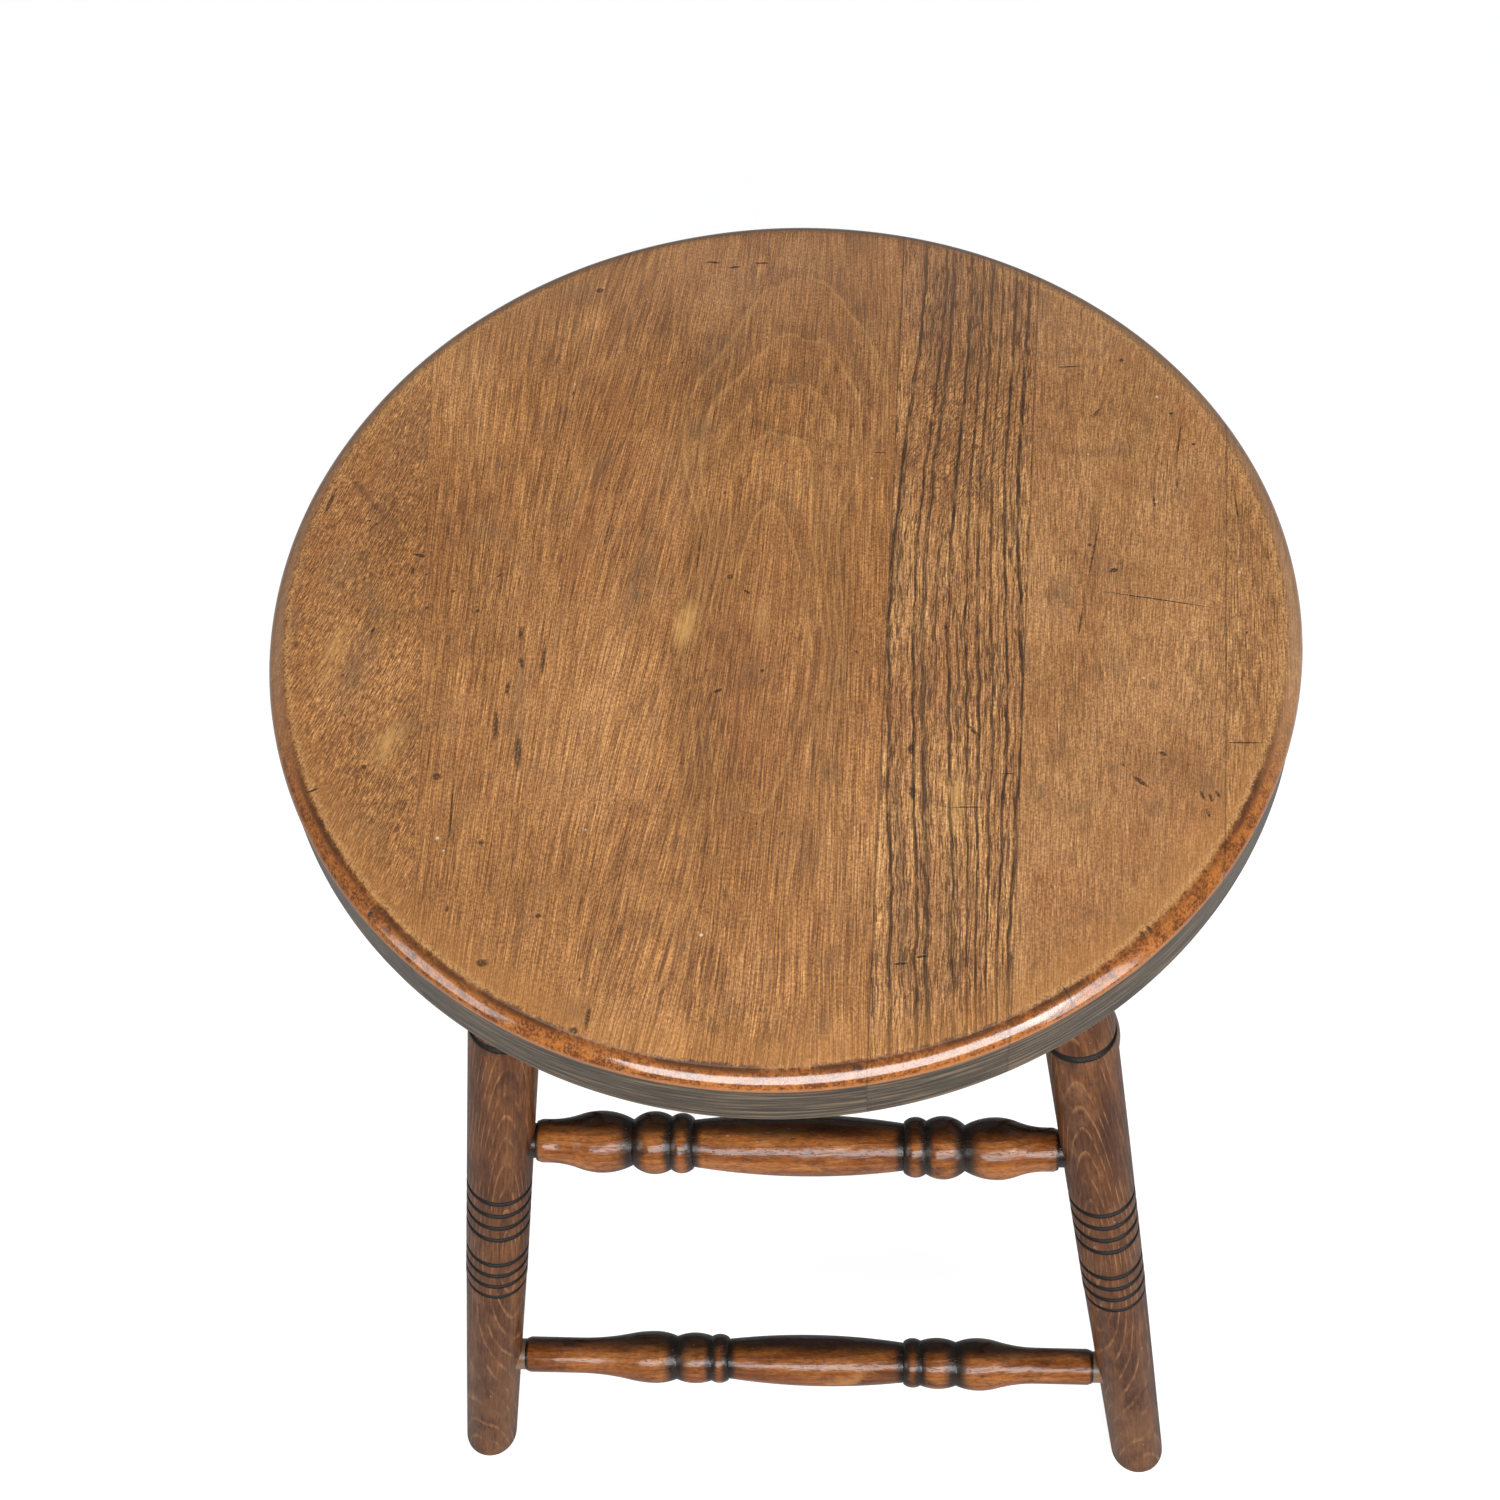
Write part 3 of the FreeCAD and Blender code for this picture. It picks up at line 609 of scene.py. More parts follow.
def cut_board(disc, number):
    """The part of the disc between two glue lines, closed along them."""
    bm = disc.copy()
    for which, keep in ((number - 1, 1), (number, -1)):
        if not 0 <= which < len(SEAMS):
            continue
        at, lean = SEAMS[which]
        normal = Vector((math.cos(math.radians(lean)), -math.sin(math.radians(lean)), 0)) * keep
        geometry = bm.verts[:] + bm.edges[:] + bm.faces[:]
        cut = bmesh.ops.bisect_plane(bm, geom=geometry, plane_co=Vector((at, 0, 0)) * MM,
                                     plane_no=-normal, clear_outer=True, dist=1e-7)
        edges = [item for item in cut["geom_cut"] if isinstance(item, bmesh.types.BMEdge)]
        bmesh.ops.holes_fill(bm, edges=edges, sides=0)
    bm.normal_update()
    return bm


def finish_mesh(name, bm, material, node, matrix=None):
    """Turn a bmesh into a named piece that takes the place of a node of the part."""
    mesh = bpy.data.meshes.new(name)
    bm.to_mesh(mesh)
    bm.free()
    piece = bpy.data.objects.new(name, mesh)
    bpy.context.scene.collection.objects.link(piece)
    if matrix is not None:
        piece.matrix_world = matrix
    mesh.materials.append(material)
    mesh.set_sharp_from_angle(angle=math.radians(SHARP_ABOVE))
    mesh.shade_smooth()
    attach(piece, "root")
    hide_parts(node)
    return piece


def arc(start, end, radius, bulge, steps):
    """Points after start up to end on an arc; (along, radius) pairs in millimetres."""
    a, b = Vector(start), Vector(end)
    half = (b - a).length / 2
    normal = Vector((-(b - a).y, (b - a).x)).normalized() * bulge
    centre = (a + b) / 2 - normal * math.sqrt(max(radius * radius - half * half, 0.0))
    first = math.atan2((a - centre).y, (a - centre).x)
    last = math.atan2((b - centre).y, (b - centre).x)
    sweep = (last - first + math.pi) % (2 * math.pi) - math.pi
    points = []
    for step in range(1, steps + 1):
        angle = first + sweep * step / steps
        points.append((centre.x + radius * math.cos(angle), centre.y + radius * math.sin(angle)))
    return points


def cap(width, rise):
    """Radius of the arc that rises this much over a half chord of this width."""
    return (width * width + rise * rise) / (2 * rise)


def lathe(profile, count, out_of_round, seed, level=None):
    """Turned mesh round Z from (along, radius, cavity) rows; level tilts the lowest rows flat."""
    bm = bmesh.new()
    layer = bm.verts.layers.float.new("cavity")
    loops = []
    for along, radius, cavity in profile:
        loop = []
        for index in range(count):
            angle = index / count * 2 * math.pi
            wobble = 1 + out_of_round * ripple(angle + along * 0.013, seed) / max(radius, 1.0)
            offset = Vector((math.cos(angle), math.sin(angle), 0)) * radius * wobble
            point = Vector((0, 0, along)) + offset
            if level is not None:
                axis, up = level
                share = max(0.0, 1.0 - along / LEVEL_REACH)
                point.z -= share * offset.dot(up) / axis
            vert = bm.verts.new(point * MM)
            vert[layer] = cavity
            loop.append(vert)
        loops.append(loop)
    for lower, upper in zip(loops, loops[1:]):
        for index in range(count):
            after = (index + 1) % count
            bm.faces.new((lower[index], lower[after], upper[after], upper[index]))
    bm.faces.new(loops[0][::-1])
    bm.faces.new(loops[-1])
    return bm


# Legs
TILT = math.atan(math.sqrt(2) * LEAN)
AXIS_STRETCH = math.sqrt(1 + 2 * LEAN * LEAN)
FOOT_RADIUS, SHANK_RADIUS, BARREL_LOW, BARREL_HIGH = 11.35, 12.45, 12.65, 12.9
FOOT_ROUND, FOOT_FLAT, FOOT_STEPS = 2.2, 2.0, 6
TENON_PAST_AXIS = 3.0
LEG_IN_SEAT = 6.0
NECK_LOW, NECK_HIGH, NECK_RING = 12.6, 10.5, 339.0
RING_HEIGHTS = [204.1 + step * 9.4 for step in range(4)] + [156.7 + step * 8.97 for step in range(4)]
GROOVE_HALF, GROOVE_DEEP = 0.95, 0.8
# Beads between the rings: how much they are eased, and how far from a ring that and the dirt reach
BEAD_EASE, EASE_REACH, DIRT_REACH, RING_REACH = 0.1, 2.4, 2.6, 3.0
# Rows of a leg's mesh: the plain spacing, the spacing near a ring, and how many on each side of it
LEG_STEP, RING_STEP, RING_STEPS = 4.0, 0.22, 12
LOWEST_ROW = 3.0
LEG_POINTS, LEG_WOBBLE = 96, 0.05


def leg_radius(height):
    low = min(RING_HEIGHTS)
    if height < low:
        return FOOT_RADIUS + (SHANK_RADIUS - FOOT_RADIUS) * height / low
    if height < NECK_RING:
        return BARREL_LOW + (BARREL_HIGH - BARREL_LOW) * (height - low) / (NECK_RING - low)
    return NECK_LOW + (NECK_HIGH - NECK_LOW) * (height - NECK_RING) / (UNDERSIDE - NECK_RING)


def leg_profile():
    """(along, radius, cavity) rows of a leg, from its foot into the seat."""
    rings = RING_HEIGHTS + [NECK_RING]
    heights = {step * LEG_STEP for step in range(math.ceil((UNDERSIDE + LEG_IN_SEAT) / LEG_STEP))}
    for ring in rings:
        heights.update(round(ring + part * RING_STEP, 3) for part in range(-RING_STEPS, RING_STEPS + 1))
    rows = [(0.0, FOOT_RADIUS - FOOT_ROUND - FOOT_FLAT, 0.0)]
    for turn in range(0, FOOT_STEPS + 1):
        angle = turn / FOOT_STEPS * math.pi / 2
        rows.append((FOOT_ROUND * (1 - math.cos(angle)),
                     FOOT_RADIUS - FOOT_ROUND * (1 - math.sin(angle)), 0.0))
    for height in sorted(heights):
        if height < LOWEST_ROW:
            continue
        radius, cavity = leg_radius(height), 0.0
        for ring in rings:
            off = abs(height - ring)
            if off < RING_REACH:
                radius -= GROOVE_DEEP * max(0.0, 1 - (off / GROOVE_HALF) ** 2)
                radius -= BEAD_EASE * max(0.0, 1 - off / EASE_REACH)
                cavity = max(cavity, 1.0 - off / DIRT_REACH)
        rows.append((height * AXIS_STRETCH, radius, cavity))
    return rows


def leg_matrix(side, end):
    foot = Vector((side * FOOT_SPREAD + FRAME_SHIFT, end * FOOT_SPREAD, 0.0)) * MM
    turn = Matrix.Rotation(TILT, 4, Vector((end, -side, 0)))
    return Matrix.Translation(foot) @ turn, turn


# Stretchers
UPPER = {
    "height": 258.8, "shift": 0.9, "gap": 0.1, "swell_half": 39.4, "swell": 11.6, "swell_end": 8.8,
    "ring_foot": 9.4, "ring_width": 8.4, "ring_rise": 1.65, "quirk": 9.9, "ball_width": 14.5,
    "ball_rise": 2.5, "neck": 8.55, "vase_run": 11.8, "vase_rise": 3.1, "turn": 0.42, "plain": 4.6,
    "end": 8.2,
}
LOWER = {
    "height": 80.9, "shift": 3.7, "gap": 1.65, "swell_half": 37.7, "swell": 10.8, "swell_end": 8.4,
    "ring_foot": 9.0, "ring_width": 7.4, "ring_rise": 1.2, "quirk": 9.45, "ball_width": 15.2,
    "ball_rise": 1.45, "neck": 9.15, "vase_run": 9.3, "vase_rise": 1.9, "turn": 0.33, "plain": 23.7,
    "end": 7.55,
}
SIDE_RISE = 18.0
TENON = 6.6
SHOULDER_CHAMFER, SHOULDER_FALL = 0.7, 1.8
QUIRK_STEP = 0.05
# How far dirt reaches from the ring's foot, the quirk and the neck, and from a shoulder
HOLLOW_REACHES, SHOULDER_REACH = (4.6, 3.8, 7.0), 1.6
# Rows along each form of a stretcher's mesh
RING_ROWS, BALL_ROWS, VASE_ROWS, OGEE_ROWS, SWELL_ROWS = 14, 18, 14, 8, 40
STRETCHER_POINTS, STRETCHER_WOBBLE = 72, 0.04


def half_profile(s, shift, vase_end):
    """(place from the middle, radius) outwards from the swell's end, for a half shifted outwards."""
    ring_at = shift + s["swell_half"]
    quirk_at = ring_at + s["ring_width"]
    neck_at = quirk_at + s["ball_width"]
    vase_at = neck_at + s["vase_run"]
    vase = s["neck"] + s["vase_rise"]
    run, drop = vase_end - vase_at, vase - s["end"]
    both = cap(run, drop)
    turn = s["turn"]
    ring_arc = cap(s["ring_width"] / 2, s["ring_rise"])
    ball_arc = cap(s["ball_width"] / 2, s["ball_rise"])
    vase_arc = cap(s["vase_run"], s["vase_rise"])
    points = [(ring_at, s["swell_end"]), (ring_at + QUIRK_STEP, s["ring_foot"])]
    points += arc(points[-1], (quirk_at, s["quirk"]), ring_arc, 1, RING_ROWS)
    points += arc(points[-1], (neck_at, s["neck"]), ball_arc, 1, BALL_ROWS)
    points += arc(points[-1], (vase_at, vase), vase_arc, 1, VASE_ROWS)
    points += arc(points[-1], (vase_at + turn * run, vase - turn * drop), turn * both, 1, OGEE_ROWS)
    points += arc(points[-1], (vase_end, s["end"]), (1 - turn) * both, -1, OGEE_ROWS)
    return points, (ring_at, quirk_at, neck_at)


def shoulder_place(s, height):
    """Where a stretcher's shoulder stands, from its middle."""
    spread = FOOT_SPREAD - LEAN * height
    rise = height / min(RING_HEIGHTS)
    leg = BARREL_HIGH if rise > 1 else FOOT_RADIUS + (SHANK_RADIUS - FOOT_RADIUS) * rise
    return spread - leg * math.sqrt(1 + LEAN * LEAN) - LEAN * (s["end"] - SHOULDER_CHAMFER) - s["gap"]


def stretcher_profile(s, height):
    """(along, radius, cavity) rows of a whole stretcher between two legs, at a height."""
    half_length = FOOT_SPREAD - LEAN * height + TENON_PAST_AXIS
    face = s["end"] - SHOULDER_CHAMFER
    shoulder = shoulder_place(s, height)
    vase_end = shoulder - s["plain"]
    right, right_marks = half_profile(s, s["shift"], vase_end)
    left, left_marks = half_profile(s, -s["shift"], vase_end)
    rows = [(-half_length, TENON), (-shoulder - QUIRK_STEP, TENON), (-shoulder, face),
            (SHOULDER_FALL - shoulder, s["end"])]
    rows += [(-along, radius) for along, radius in reversed(left)]
    rows += arc(rows[-1], right[0], cap(s["swell_half"], s["swell"] - s["swell_end"]), 1, SWELL_ROWS)
    rows += right[1:]
    rows += [(shoulder - SHOULDER_FALL, s["end"]), (shoulder, face), (shoulder + QUIRK_STEP, TENON),
             (half_length, TENON)]
    # Hollows: how near each row is to a place where dirt collects
    marks = dict(zip(right_marks, HOLLOW_REACHES))
    marks.update({-at: reach for at, reach in zip(left_marks, HOLLOW_REACHES)})
    marks.update({-shoulder: SHOULDER_REACH, shoulder: SHOULDER_REACH})
    return [(along, radius, max([0.0] + [1 - abs(along - at) / reach for at, reach in marks.items()]))
            for along, radius in rows]


def add_stretcher(name, wood, node, sizes, height, matrix, shift, **look):
    """Build a stretcher; shift moves its wobble, look adds to the finish."""
    mesh = lathe(stretcher_profile(sizes, height), STRETCHER_POINTS, STRETCHER_WOBBLE, shift)
    material = turned_material(wood, dict(STRETCH, **look))
    finish_mesh(name, mesh, material, node, matrix)


def stretcher_matrix(across, side, height):
    spread = FOOT_SPREAD - LEAN * height
    if across:
        at = Vector((FRAME_SHIFT, side * spread, height)) * MM
        return Matrix.Translation(at) @ Matrix.Rotation(math.radians(90), 4, "Y")
    at = Vector((FRAME_SHIFT + side * spread, 0.0, height)) * MM
    return Matrix.Translation(at) @ Matrix.Rotation(math.radians(-90), 4, "X")


# Finishes of the pieces
# Tints are colour, x, y, two radii, turn and strength; marks are x, y, two radii and turn; white specks are
# x, y and size; the coarse board's lines are x, half width and strength; tones are place and colour.
PALE_TONES = ((0.0, (0.335, 0.152, 0.05)), (0.4, (0.4, 0.187, 0.066)), (1.0, (0.47, 0.232, 0.09)))
WARM = {
    "tones": ((0, (0.302, 0.124, 0.034)), (0.4, (0.359, 0.153, 0.046)), (0.7, (0.411, 0.181, 0.058)),
              (1, (0.468, 0.218, 0.078))),
    "red": (0.3, 0.11, 0.036), "dark": (0.105, 0.044, 0.016), "black": (0.018, 0.01, 0.006),
    "grey": (0.165, 0.098, 0.05), "light": (0.66, 0.36, 0.115), "pore_depth": 0.7, "wander": 0.05,
    "fibre": 36, "hair": 15, "pore": 9, "pores": 0.55, "contrast": 0.34, "stipple": 0.34, "grime": 0.42,
}
SEAT = {
    "left": dict(
        WARM, seed=11, slant=((-172, 19), (-121, 15)), fibre=6.5, hair=3, pore=3.2,
        contrast=0.42, stipple=0.32, pores=0.45, grime=0.55, seams=((SEAMS[0], 0.1),),
        tints=(
            ("light", -148, -22, 7, 20, -17, 0.5), ("light", -125, -57, 8, 15, -17, 0.62),
            ("grey", -139, -26, 8, 30, -10, 0.55), ("grey", -131, 74, 20, 24, 0, 0.4),
            ("grey", -150, 12, 12, 18, -10, 0.4), ("grey", -134, -88, 14, 12, -10, 0.35),
            ("red", -143, 58, 8, 30, -10, 0.4), ("dark", -140.5, 39.3, 24, 2, -50, 0.75)),
        marks=(
            (-123.2, 19.2, 3.8, 0.85, -17), (-125.4, 12.8, 0.65, 2.8, 6), (-132.2, -65.5, 1.1, 1.1, 0),
            (-143, 34, 1, 0.5, 20), (-136, -12, 0.7, 1.5, -30), (-141, -46, 0.6, 0.8, 0),
            (-157.7, 42, 0.9, 5.4, -12), (-123.6, -117.9, 1.5, 2.2, -40), (-147.6, -74.7, 2.6, 0.6, 25))),
    "wide": dict(
        WARM, seed=3, slant=((-120, -1), (-90, 2), (-50, 8.5), (-10, 4), (25, 0.5)),
        seams=((SEAMS[0], 0.1), (SEAMS[1], 0.55)),
        loops={"x": -4.9, "y": -19.8, "wide": 16.5, "long": 60.4, "levels": (1, 1.54, 1.9, 2.29, 2.75)},
        white=((-20.3, -125.3, 1.1), (-105.5, -92, 1.1), (-103, -96.5, 0.7)),
        tints=(
            ("light", -31, -9, 6, 15, -5, 0.85), ("light", -6, -8, 4, 14, -2, 0.62),
            ("light", 9, -14, 2, 14, 3, 0.3), ("red", -69, 29, 6, 46, -6, 0.55),
            ("dark", -43, 44, 3.5, 26, -10, 0.34), ("grey", -49, 8, 5, 34, -8, 0.5),
            ("red", -6, -26, 26, 80, 0, 0.34), ("red", -60, 92, 8, 26, -8, 0.45),
            ("grey", 10, -96, 14, 12, 0, 0.35), ("dark", 20, -133, 6, 9, -8, 0.45),
            ("dark", -55, -152, 7, 7, -20, 0.45), ("grey", -84, -40, 5, 30, 2, 0.45),
            ("dark", -27, -92, 7, 14, -4, 0.22), ("dark", 8, -90, 6, 14, 0, 0.22),
            ("dark", -56, -108, 4, 14, -12, 0.3)),
        marks=(
            (-82.8, -60, 1.7, 9, 4), (-91.1, -49, 1.1, 8, 3), (-88.5, -34.8, 0.9, 3.2, 0),
            (-86.2, -13, 0.7, 3.6, 0), (-84.8, -24.5, 1, 3.2, 12), (-77.6, -24, 0.8, 8, 0),
            (-108.1, -69.1, 2, 1.8, 0), (-71.1, -119.1, 1.1, 1.1, 0), (-86.9, -135.6, 2.4, 1.8, 0),
            (-53.1, -153.9, 0.9, 5, -5), (-57, -158, 1.6, 1.8, 0), (-120.3, 11.4, 1, 0.5, 45),
            (-110.8, 4.3, 0.9, 0.9, 0), (-118.8, -2.6, 0.9, 0.9, 0), (-101.4, -3.7, 0.8, 0.8, 0),
            (-95.5, 11, 1.7, 0.5, 44), (-17.4, 10.7, 1.3, 1.3, 0), (-11.5, 4.5, 1.7, 0.5, -35),
            (-19.3, -35.3, 2, 0.9, 30), (-5.2, -27.3, 0.8, 0.8, 0), (-28.4, 21, 0.45, 14, -3),
            (-59.8, 31.2, 0.4, 10, -9), (32.4, 64.2, 2.6, 0.35, 0), (-102, -83, 0.4, 15, 3),
            (-91.4, -93, 1.1, 1.3, 0), (-99.7, -117, 0.6, 1.8, 0), (-108.8, -132.9, 1.8, 1.4, -45),
            (-30, 154, 3.2, 0.7, -5), (-22, 151.5, 2.6, 0.7, 8), (-12, 153.5, 3.4, 0.6, 0),
            (-70.8, 140.3, 1.8, 1.5, 0), (28, -168.6, 2.6, 1.4, 10))),
    "coarse": dict(
        WARM, seed=21, slant=((35, 2),), grime=0.3, pore_depth=1.1, fibre=12,
        tones=((0, (0.33, 0.145, 0.05)), (0.5, (0.44, 0.205, 0.074)), (1, (0.56, 0.285, 0.105))),
        seams=((SEAMS[1], 0.45), (SEAMS[2], 0.45)), line_black=(0.02, 0.009, 0.004),
        lines=(
            (36.2, 1.2, 0.86), (40.3, 0.5, 0.4), (44.2, 0.9, 0.86), (47.3, 1.5, 0.76), (51.5, 0.5, 0.35),
            (55.7, 1.1, 0.88), (58.6, 0.5, 0.4), (61.4, 0.9, 0.82), (65.3, 1, 0.86), (67.6, 0.5, 0.45),
            (69.8, 0.9, 0.8), (72.2, 0.5, 0.45), (74.6, 1, 0.86), (77, 0.5, 0.45), (79.3, 1.2, 0.9)),
        tints=(("light", 58, -76, 4, 17, -2, 0.55),),
        marks=(
            (43.5, -57.1, 1.3, 3, 0), (43.9, -73.2, 1.5, 3.4, 0), (63.3, -50, 4, 0.8, -50),
            (61.6, -78.7, 6.6, 0.35, 1), (74, -66.2, 2.4, 0.4, 0), (47, -131.5, 2.2, 0.6, 10),
            (40.6, -134, 2.6, 0.6, 5))),
    "right": dict(
        WARM, seed=31, slant=((84, 2), (132, 7)), grime=0.5, fibre=14, hair=6, tones=PALE_TONES,
        contrast=0.25, stipple=0.3, pores=0.26, seams=((SEAMS[2], 0.45), (SEAMS[3], 0.45)),
        tints=(
            ("red", 119, 107, 9, 10, -10, 0.5), ("red", 114, 52, 9, 14, -10, 0.5),
            ("red", 141, 38, 7, 26, -4, 0.62), ("dark", 92, 67, 5, 4, 0, 0.35),
            ("grey", 98, 111, 4, 4, 0, 0.5), ("dark", 104, 12, 3, 26, -9, 0.2),
            ("dark", 103, 64.2, 20, 3.4, 0, 0.45), ("dark", 121.7, -32.7, 3.4, 3.4, 0, 0.7),
            ("dark", 90, -58, 6, 13, -25, 0.42), ("dark", 120, -62, 17, 10, -10, 0.3),
            ("red", 112, -92, 22, 16, -20, 0.35)),
        marks=(
            (125.2, 1.8, 22, 0.35, -10), (110.7, 13.9, 1.9, 1.2, 20), (104.7, 23.6, 0.4, 15, -11),
            (99, -7.4, 0.4, 7, -9), (135.5, 70.2, 0.45, 9.5, -9), (133.6, 50.8, 0.4, 2.8, 0),
            (117.2, 106.1, 0.9, 1.1, 0), (133.3, 81.6, 1, 0.8, 0), (140.2, 67.9, 0.8, 0.8, 0),
            (103.1, 24.5, 0.9, 0.9, 0), (107.5, 81.8, 0.8, 3, -30), (98.7, 103.2, 5.2, 0.5, 4),
            (115.8, -68.8, 3.6, 1, -40), (134.6, -73.5, 0.6, 2.4, 20), (137.2, -74.5, 0.6, 2, 15),
            (139.4, -73, 0.6, 1.8, 25), (136, -80, 0.6, 2.2, 15), (123.2, -58.3, 1.8, 0.9, -30),
            (125.5, 43.2, 0.5, 3.4, 5), (115.8, -121.2, 0.9, 2, 35), (113.9, -123.3, 0.9, 2.4, 35),
            (90.6, -143.2, 0.4, 4.2, 34)),
        white=((128.8, 89, 0.9), (126.1, 42.6, 0.8), (104, 63.3, 0.7))),
    "edge": dict(
        WARM, seed=41, slant=((147, 4),), grime=0.3, fibre=14, hair=6, contrast=0.32,
        pores=0.4, tones=PALE_TONES, seams=((SEAMS[3], 0.45),),
        marks=((153, 40, 0.4, 6, 3), (149.5, -54, 7, 0.4, 0)),
        white=((152.2, 13, 0.8),)),
}
LEG = {
    "tones": ((0, (0.052, 0.016, 0.005)), (0.5, (0.106, 0.036, 0.011)), (1, (0.184, 0.07, 0.023))),
    "dark": (0.034, 0.011, 0.005), "light": (0.3, 0.145, 0.066), "black": (0.006, 0.004, 0.003),
    "line_colour": (0.33, 0.15, 0.06), "line": 0.58, "band": 0.32, "ring": 2, "sway": 3,
    "fibre": 14, "contrast": 0.34, "wear": 0.36, "grime": 0.62, "hollow": (0.2, 0.48, 0.98),
    "patches": ((50, 80, (0, -1), 0.22, "light"),),
    "rough": (0.42, 0.32), "ior": 1.27, "lumpy": 0.4,
}
STRETCH = {
    "tones": ((0, (0.08, 0.02, 0.005)), (0.45, (0.196, 0.058, 0.012)), (1, (0.37, 0.13, 0.03))),
    "dark": (0.03, 0.008, 0.003), "light": (0.52, 0.24, 0.075), "black": (0.006, 0.004, 0.003),
    "line_colour": (0.08, 0.022, 0.007), "line": 0.3, "band": 0.2, "ring": 2.6, "sway": 6,
    "fibre": 3.5, "contrast": 0.3, "wear": 0.55, "grime": 0.85, "hollow": (0.06, 0.8, 0.96),
    "rough": (0.21, 0.14), "ior": 1.47, "lumpy": 0.8,
}
# Painted shade on the side of a stretcher that faces up and in under the seat: where it starts and is full,
# towards its side, and how strong it is
PAINTED_SHADE_UNDER_SEAT = (3.2, 8.8, 0.88)

# The object
disc = seat_disc()
for number, board in enumerate(BOARDS):
    finish_mesh(f"seat_{board}_board", cut_board(disc, number), seat_material(board, SEAT[board]),
                f"seat_board_{board}")
disc.free()

for end, face in ((-1, "front"), (1, "back")):
    for side, hand in ((-1, "left"), (1, "right")):
        seed = 2.0 + side * 0.7 + end * 1.1
        matrix, turn = leg_matrix(side, end)
        up = turn.inverted() @ Vector((0, 0, 1))
        mesh = lathe(leg_profile(), LEG_POINTS, LEG_WOBBLE, seed, (up.z, Vector((up.x, up.y, 0))))
        wood = turned_material(f"leg_{face}_{hand}_wood", dict(
            LEG, seed=seed * 13, pith=(3.0 * side, end * 12.0), tilt=(0.01 * side, -0.12 * end)))
        finish_mesh(f"{face}_{hand}_leg", mesh, wood, f"leg_{face}_{hand}", matrix)

for end, face in ((-1, "front"), (1, "back")):
    for level, sizes in (("upper", UPPER), ("lower", LOWER)):
        height = sizes["height"]
        shift = 5.0 + end * 1.3 + (0.9 if level == "upper" else 0.0)
        bare = {"bare": shoulder_place(sizes, height)} if level == "lower" else {}
        add_stretcher(f"{face}_{level}_turning", f"{face}_{level}_wood", f"{face}_stretcher_{level}",
                      sizes, height, stretcher_matrix(True, end, height), shift, seed=shift * 17,
                      pith=(22, 11 * end), tilt=(0.03, -0.05), shade=((-0.6, -0.8 * end), *PAINTED_SHADE_UNDER_SEAT),
                      **bare)

for side, hand in ((-1, "left"), (1, "right")):
    height = UPPER["height"] + SIDE_RISE
    shift = 8.0 + side
    add_stretcher(f"{hand}_turning", f"{hand}_side_wood", f"{hand}_stretcher", UPPER, height,
                  stretcher_matrix(False, side, height), shift, seed=shift * 19, pith=(19, 12 * side),
                  tilt=(0.04, 0.03), shade=((-0.8 * side, -0.6), *PAINTED_SHADE_UNDER_SEAT))


# Stage, light and camera
FLOOR_POINTS, FLOOR_RADIUS = 96, 30.0
FLOOR_GREY, FLOOR_GLOW, SKY_LIGHT = (0.45, 0.45, 0.45), 0.74, 0.2
WHITE, COOL = (1.0, 1.0, 1.0), (0.97, 0.985, 1.0)
# Each lamp: name, place, aim, width and height in metres, watts and colour
LAMPS = (
    ("key", (0.3, -1.45, 1.38), (0, 0, 0.35), (2.3, 0.8), 45, COOL),
    ("over", (-0.1, 0.5, 2.3), (0, 0, 0.4), (1.2, 1.2), 5, WHITE),
    ("tall", (1.25, -0.95, 0.95), (0, 0, 0.45), (0.5, 1.3), 9, COOL),
    ("left", (-1.7, -1.0, 1.1), (0, 0, 0.4), (0.8, 1.0), 8, WHITE),
)
# The camera: place in millimetres; turn, fall and roll in degrees; lens and sensor in millimetres
CAMERA_AT = (36.89 + FRAME_SHIFT, -466.78, 1099.98)
CAMERA_TURN, CAMERA_FALL, CAMERA_ROLL = -6.584, 57.603, -5.132
LENS, SENSOR, CLIP_END = 57.485, 36.0, 100.0


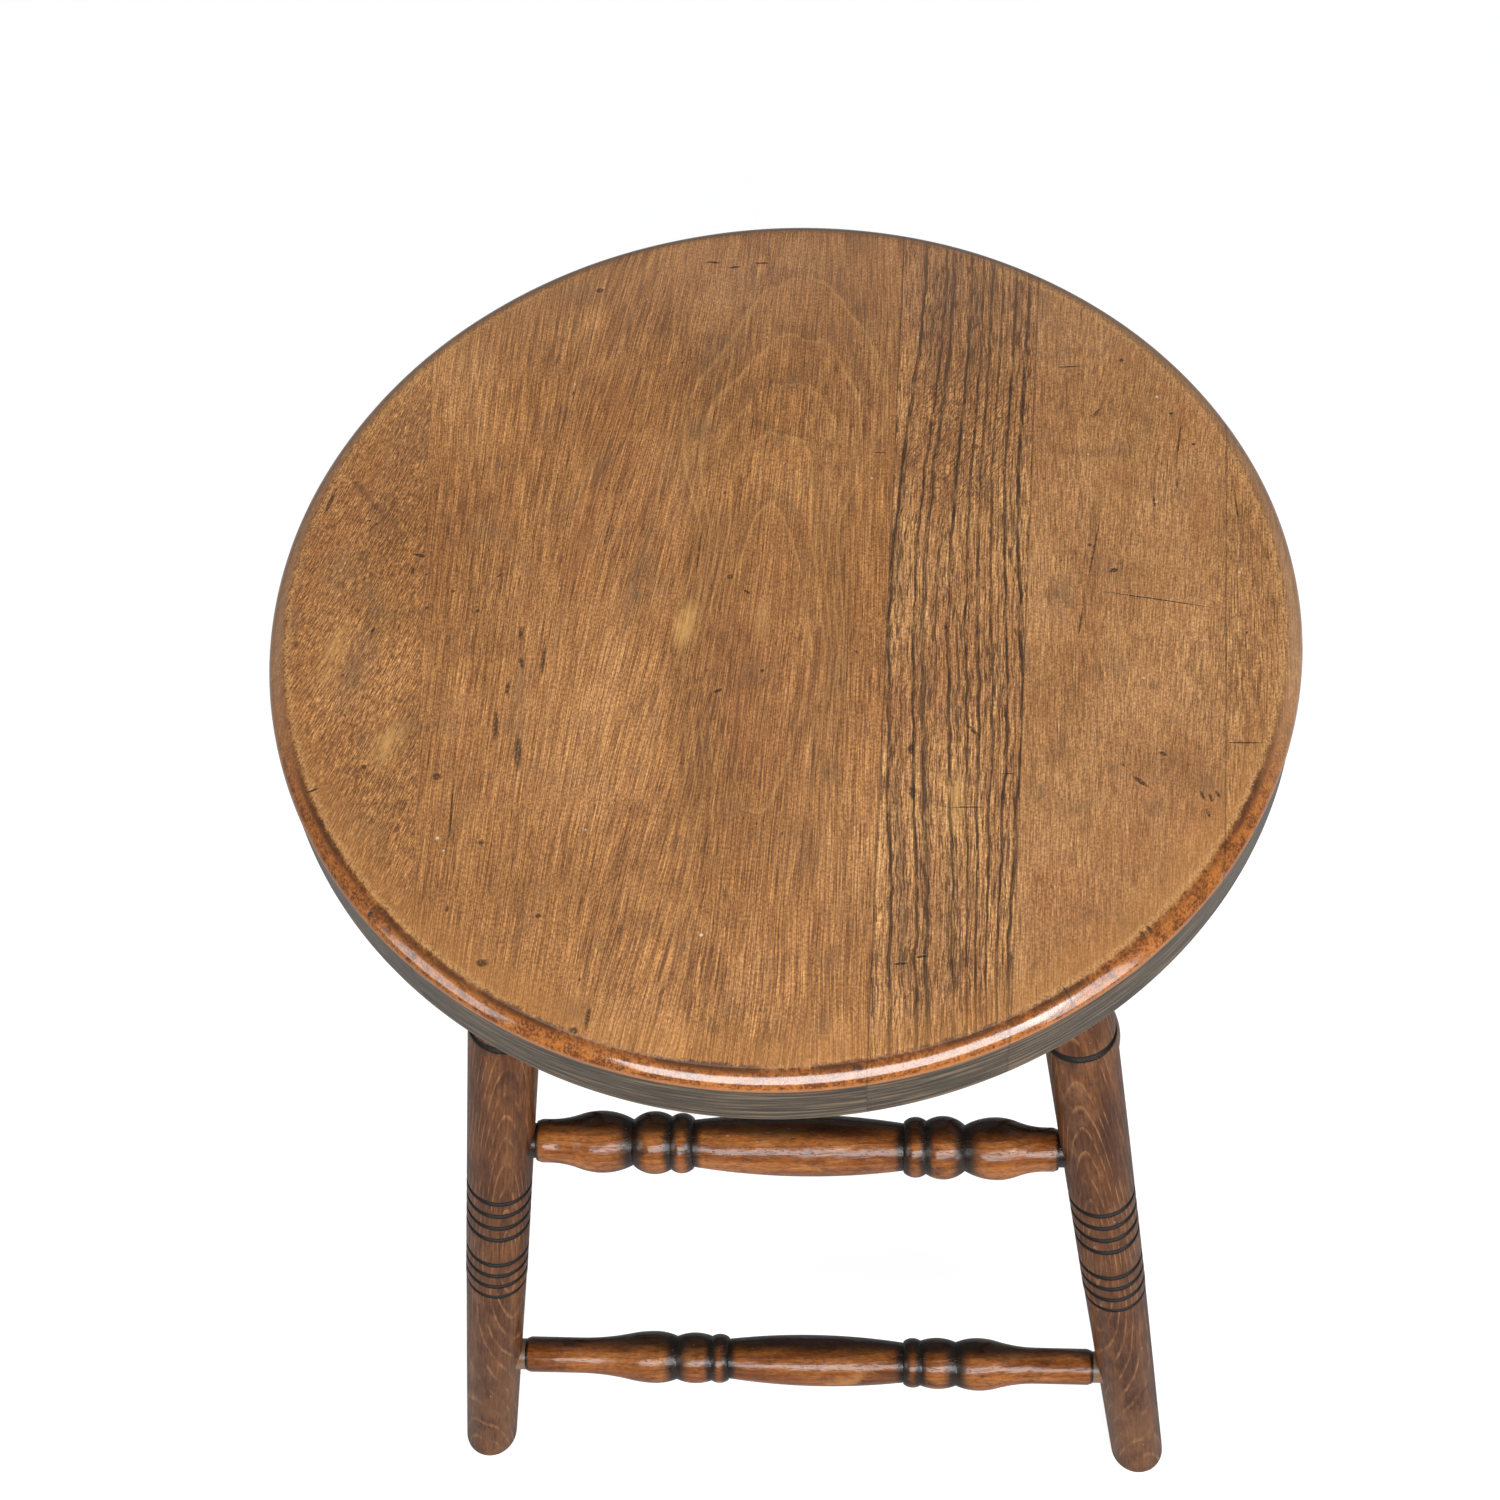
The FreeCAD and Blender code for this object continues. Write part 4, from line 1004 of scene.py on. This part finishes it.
def floor():
    bpy.ops.mesh.primitive_circle_add(vertices=FLOOR_POINTS, radius=FLOOR_RADIUS, fill_type="NGON")
    ground = bpy.context.object
    ground.name = "floor"
    net = Net(bpy.data.materials.new("floor_white"))
    seen = net.add("LightPath", output="Is Camera Ray")
    diffuse = net.add("BsdfDiffuse", {"Color": FLOOR_GREY})
    glow = net.add("Emission", {"Color": WHITE, "Strength": FLOOR_GLOW})
    both = net.add("AddShader", {0: diffuse, 1: glow})
    shader = net.add("MixShader", {0: seen, 1: diffuse, 2: both})
    ground.data.materials.append(net.finish(shader))


def lamp(name, at, target, size, power, colour):
    data = bpy.data.lights.new(name, "AREA")
    data.shape = "RECTANGLE"
    data.size, data.size_y = size
    data.energy = power
    data.color = colour
    light = bpy.data.objects.new(name, data)
    bpy.context.scene.collection.objects.link(light)
    light.location = at
    light.rotation_euler = (Vector(target) - Vector(at)).to_track_quat("-Z", "Y").to_euler()


def world():
    sky = bpy.data.worlds.new("sky")
    bpy.context.scene.world = sky
    net = Net(sky)
    seen = net.add("LightPath", output="Is Camera Ray")
    light = net.add("Background", {0: WHITE, 1: SKY_LIGHT})
    white = net.add("Background", {0: WHITE, 1: 1.0})
    net.finish(net.add("MixShader", {0: seen, 1: light, 2: white}), "World")


def camera():
    turn, fall, roll = math.radians(CAMERA_TURN), math.radians(CAMERA_FALL), math.radians(CAMERA_ROLL)
    forward = Vector((math.sin(turn) * math.cos(fall), math.cos(turn) * math.cos(fall), -math.sin(fall)))
    level = Vector((math.cos(turn), -math.sin(turn), 0))
    over = level.cross(forward)
    right = level * math.cos(roll) + over * math.sin(roll)
    up = over * math.cos(roll) - level * math.sin(roll)
    axes = Matrix((right, up, -forward)).transposed().to_4x4()
    data = bpy.data.cameras.new("camera")
    data.sensor_width = SENSOR
    data.lens = LENS
    data.clip_end = CLIP_END
    eye = bpy.data.objects.new("camera", data)
    bpy.context.scene.collection.objects.link(eye)
    eye.matrix_world = Matrix.Translation(Vector(CAMERA_AT) * MM) @ axes
    bpy.context.scene.camera = eye


floor()
world()
for settings in LAMPS:
    lamp(*settings)
camera()
bpy.context.scene.view_settings.view_transform = "Standard"
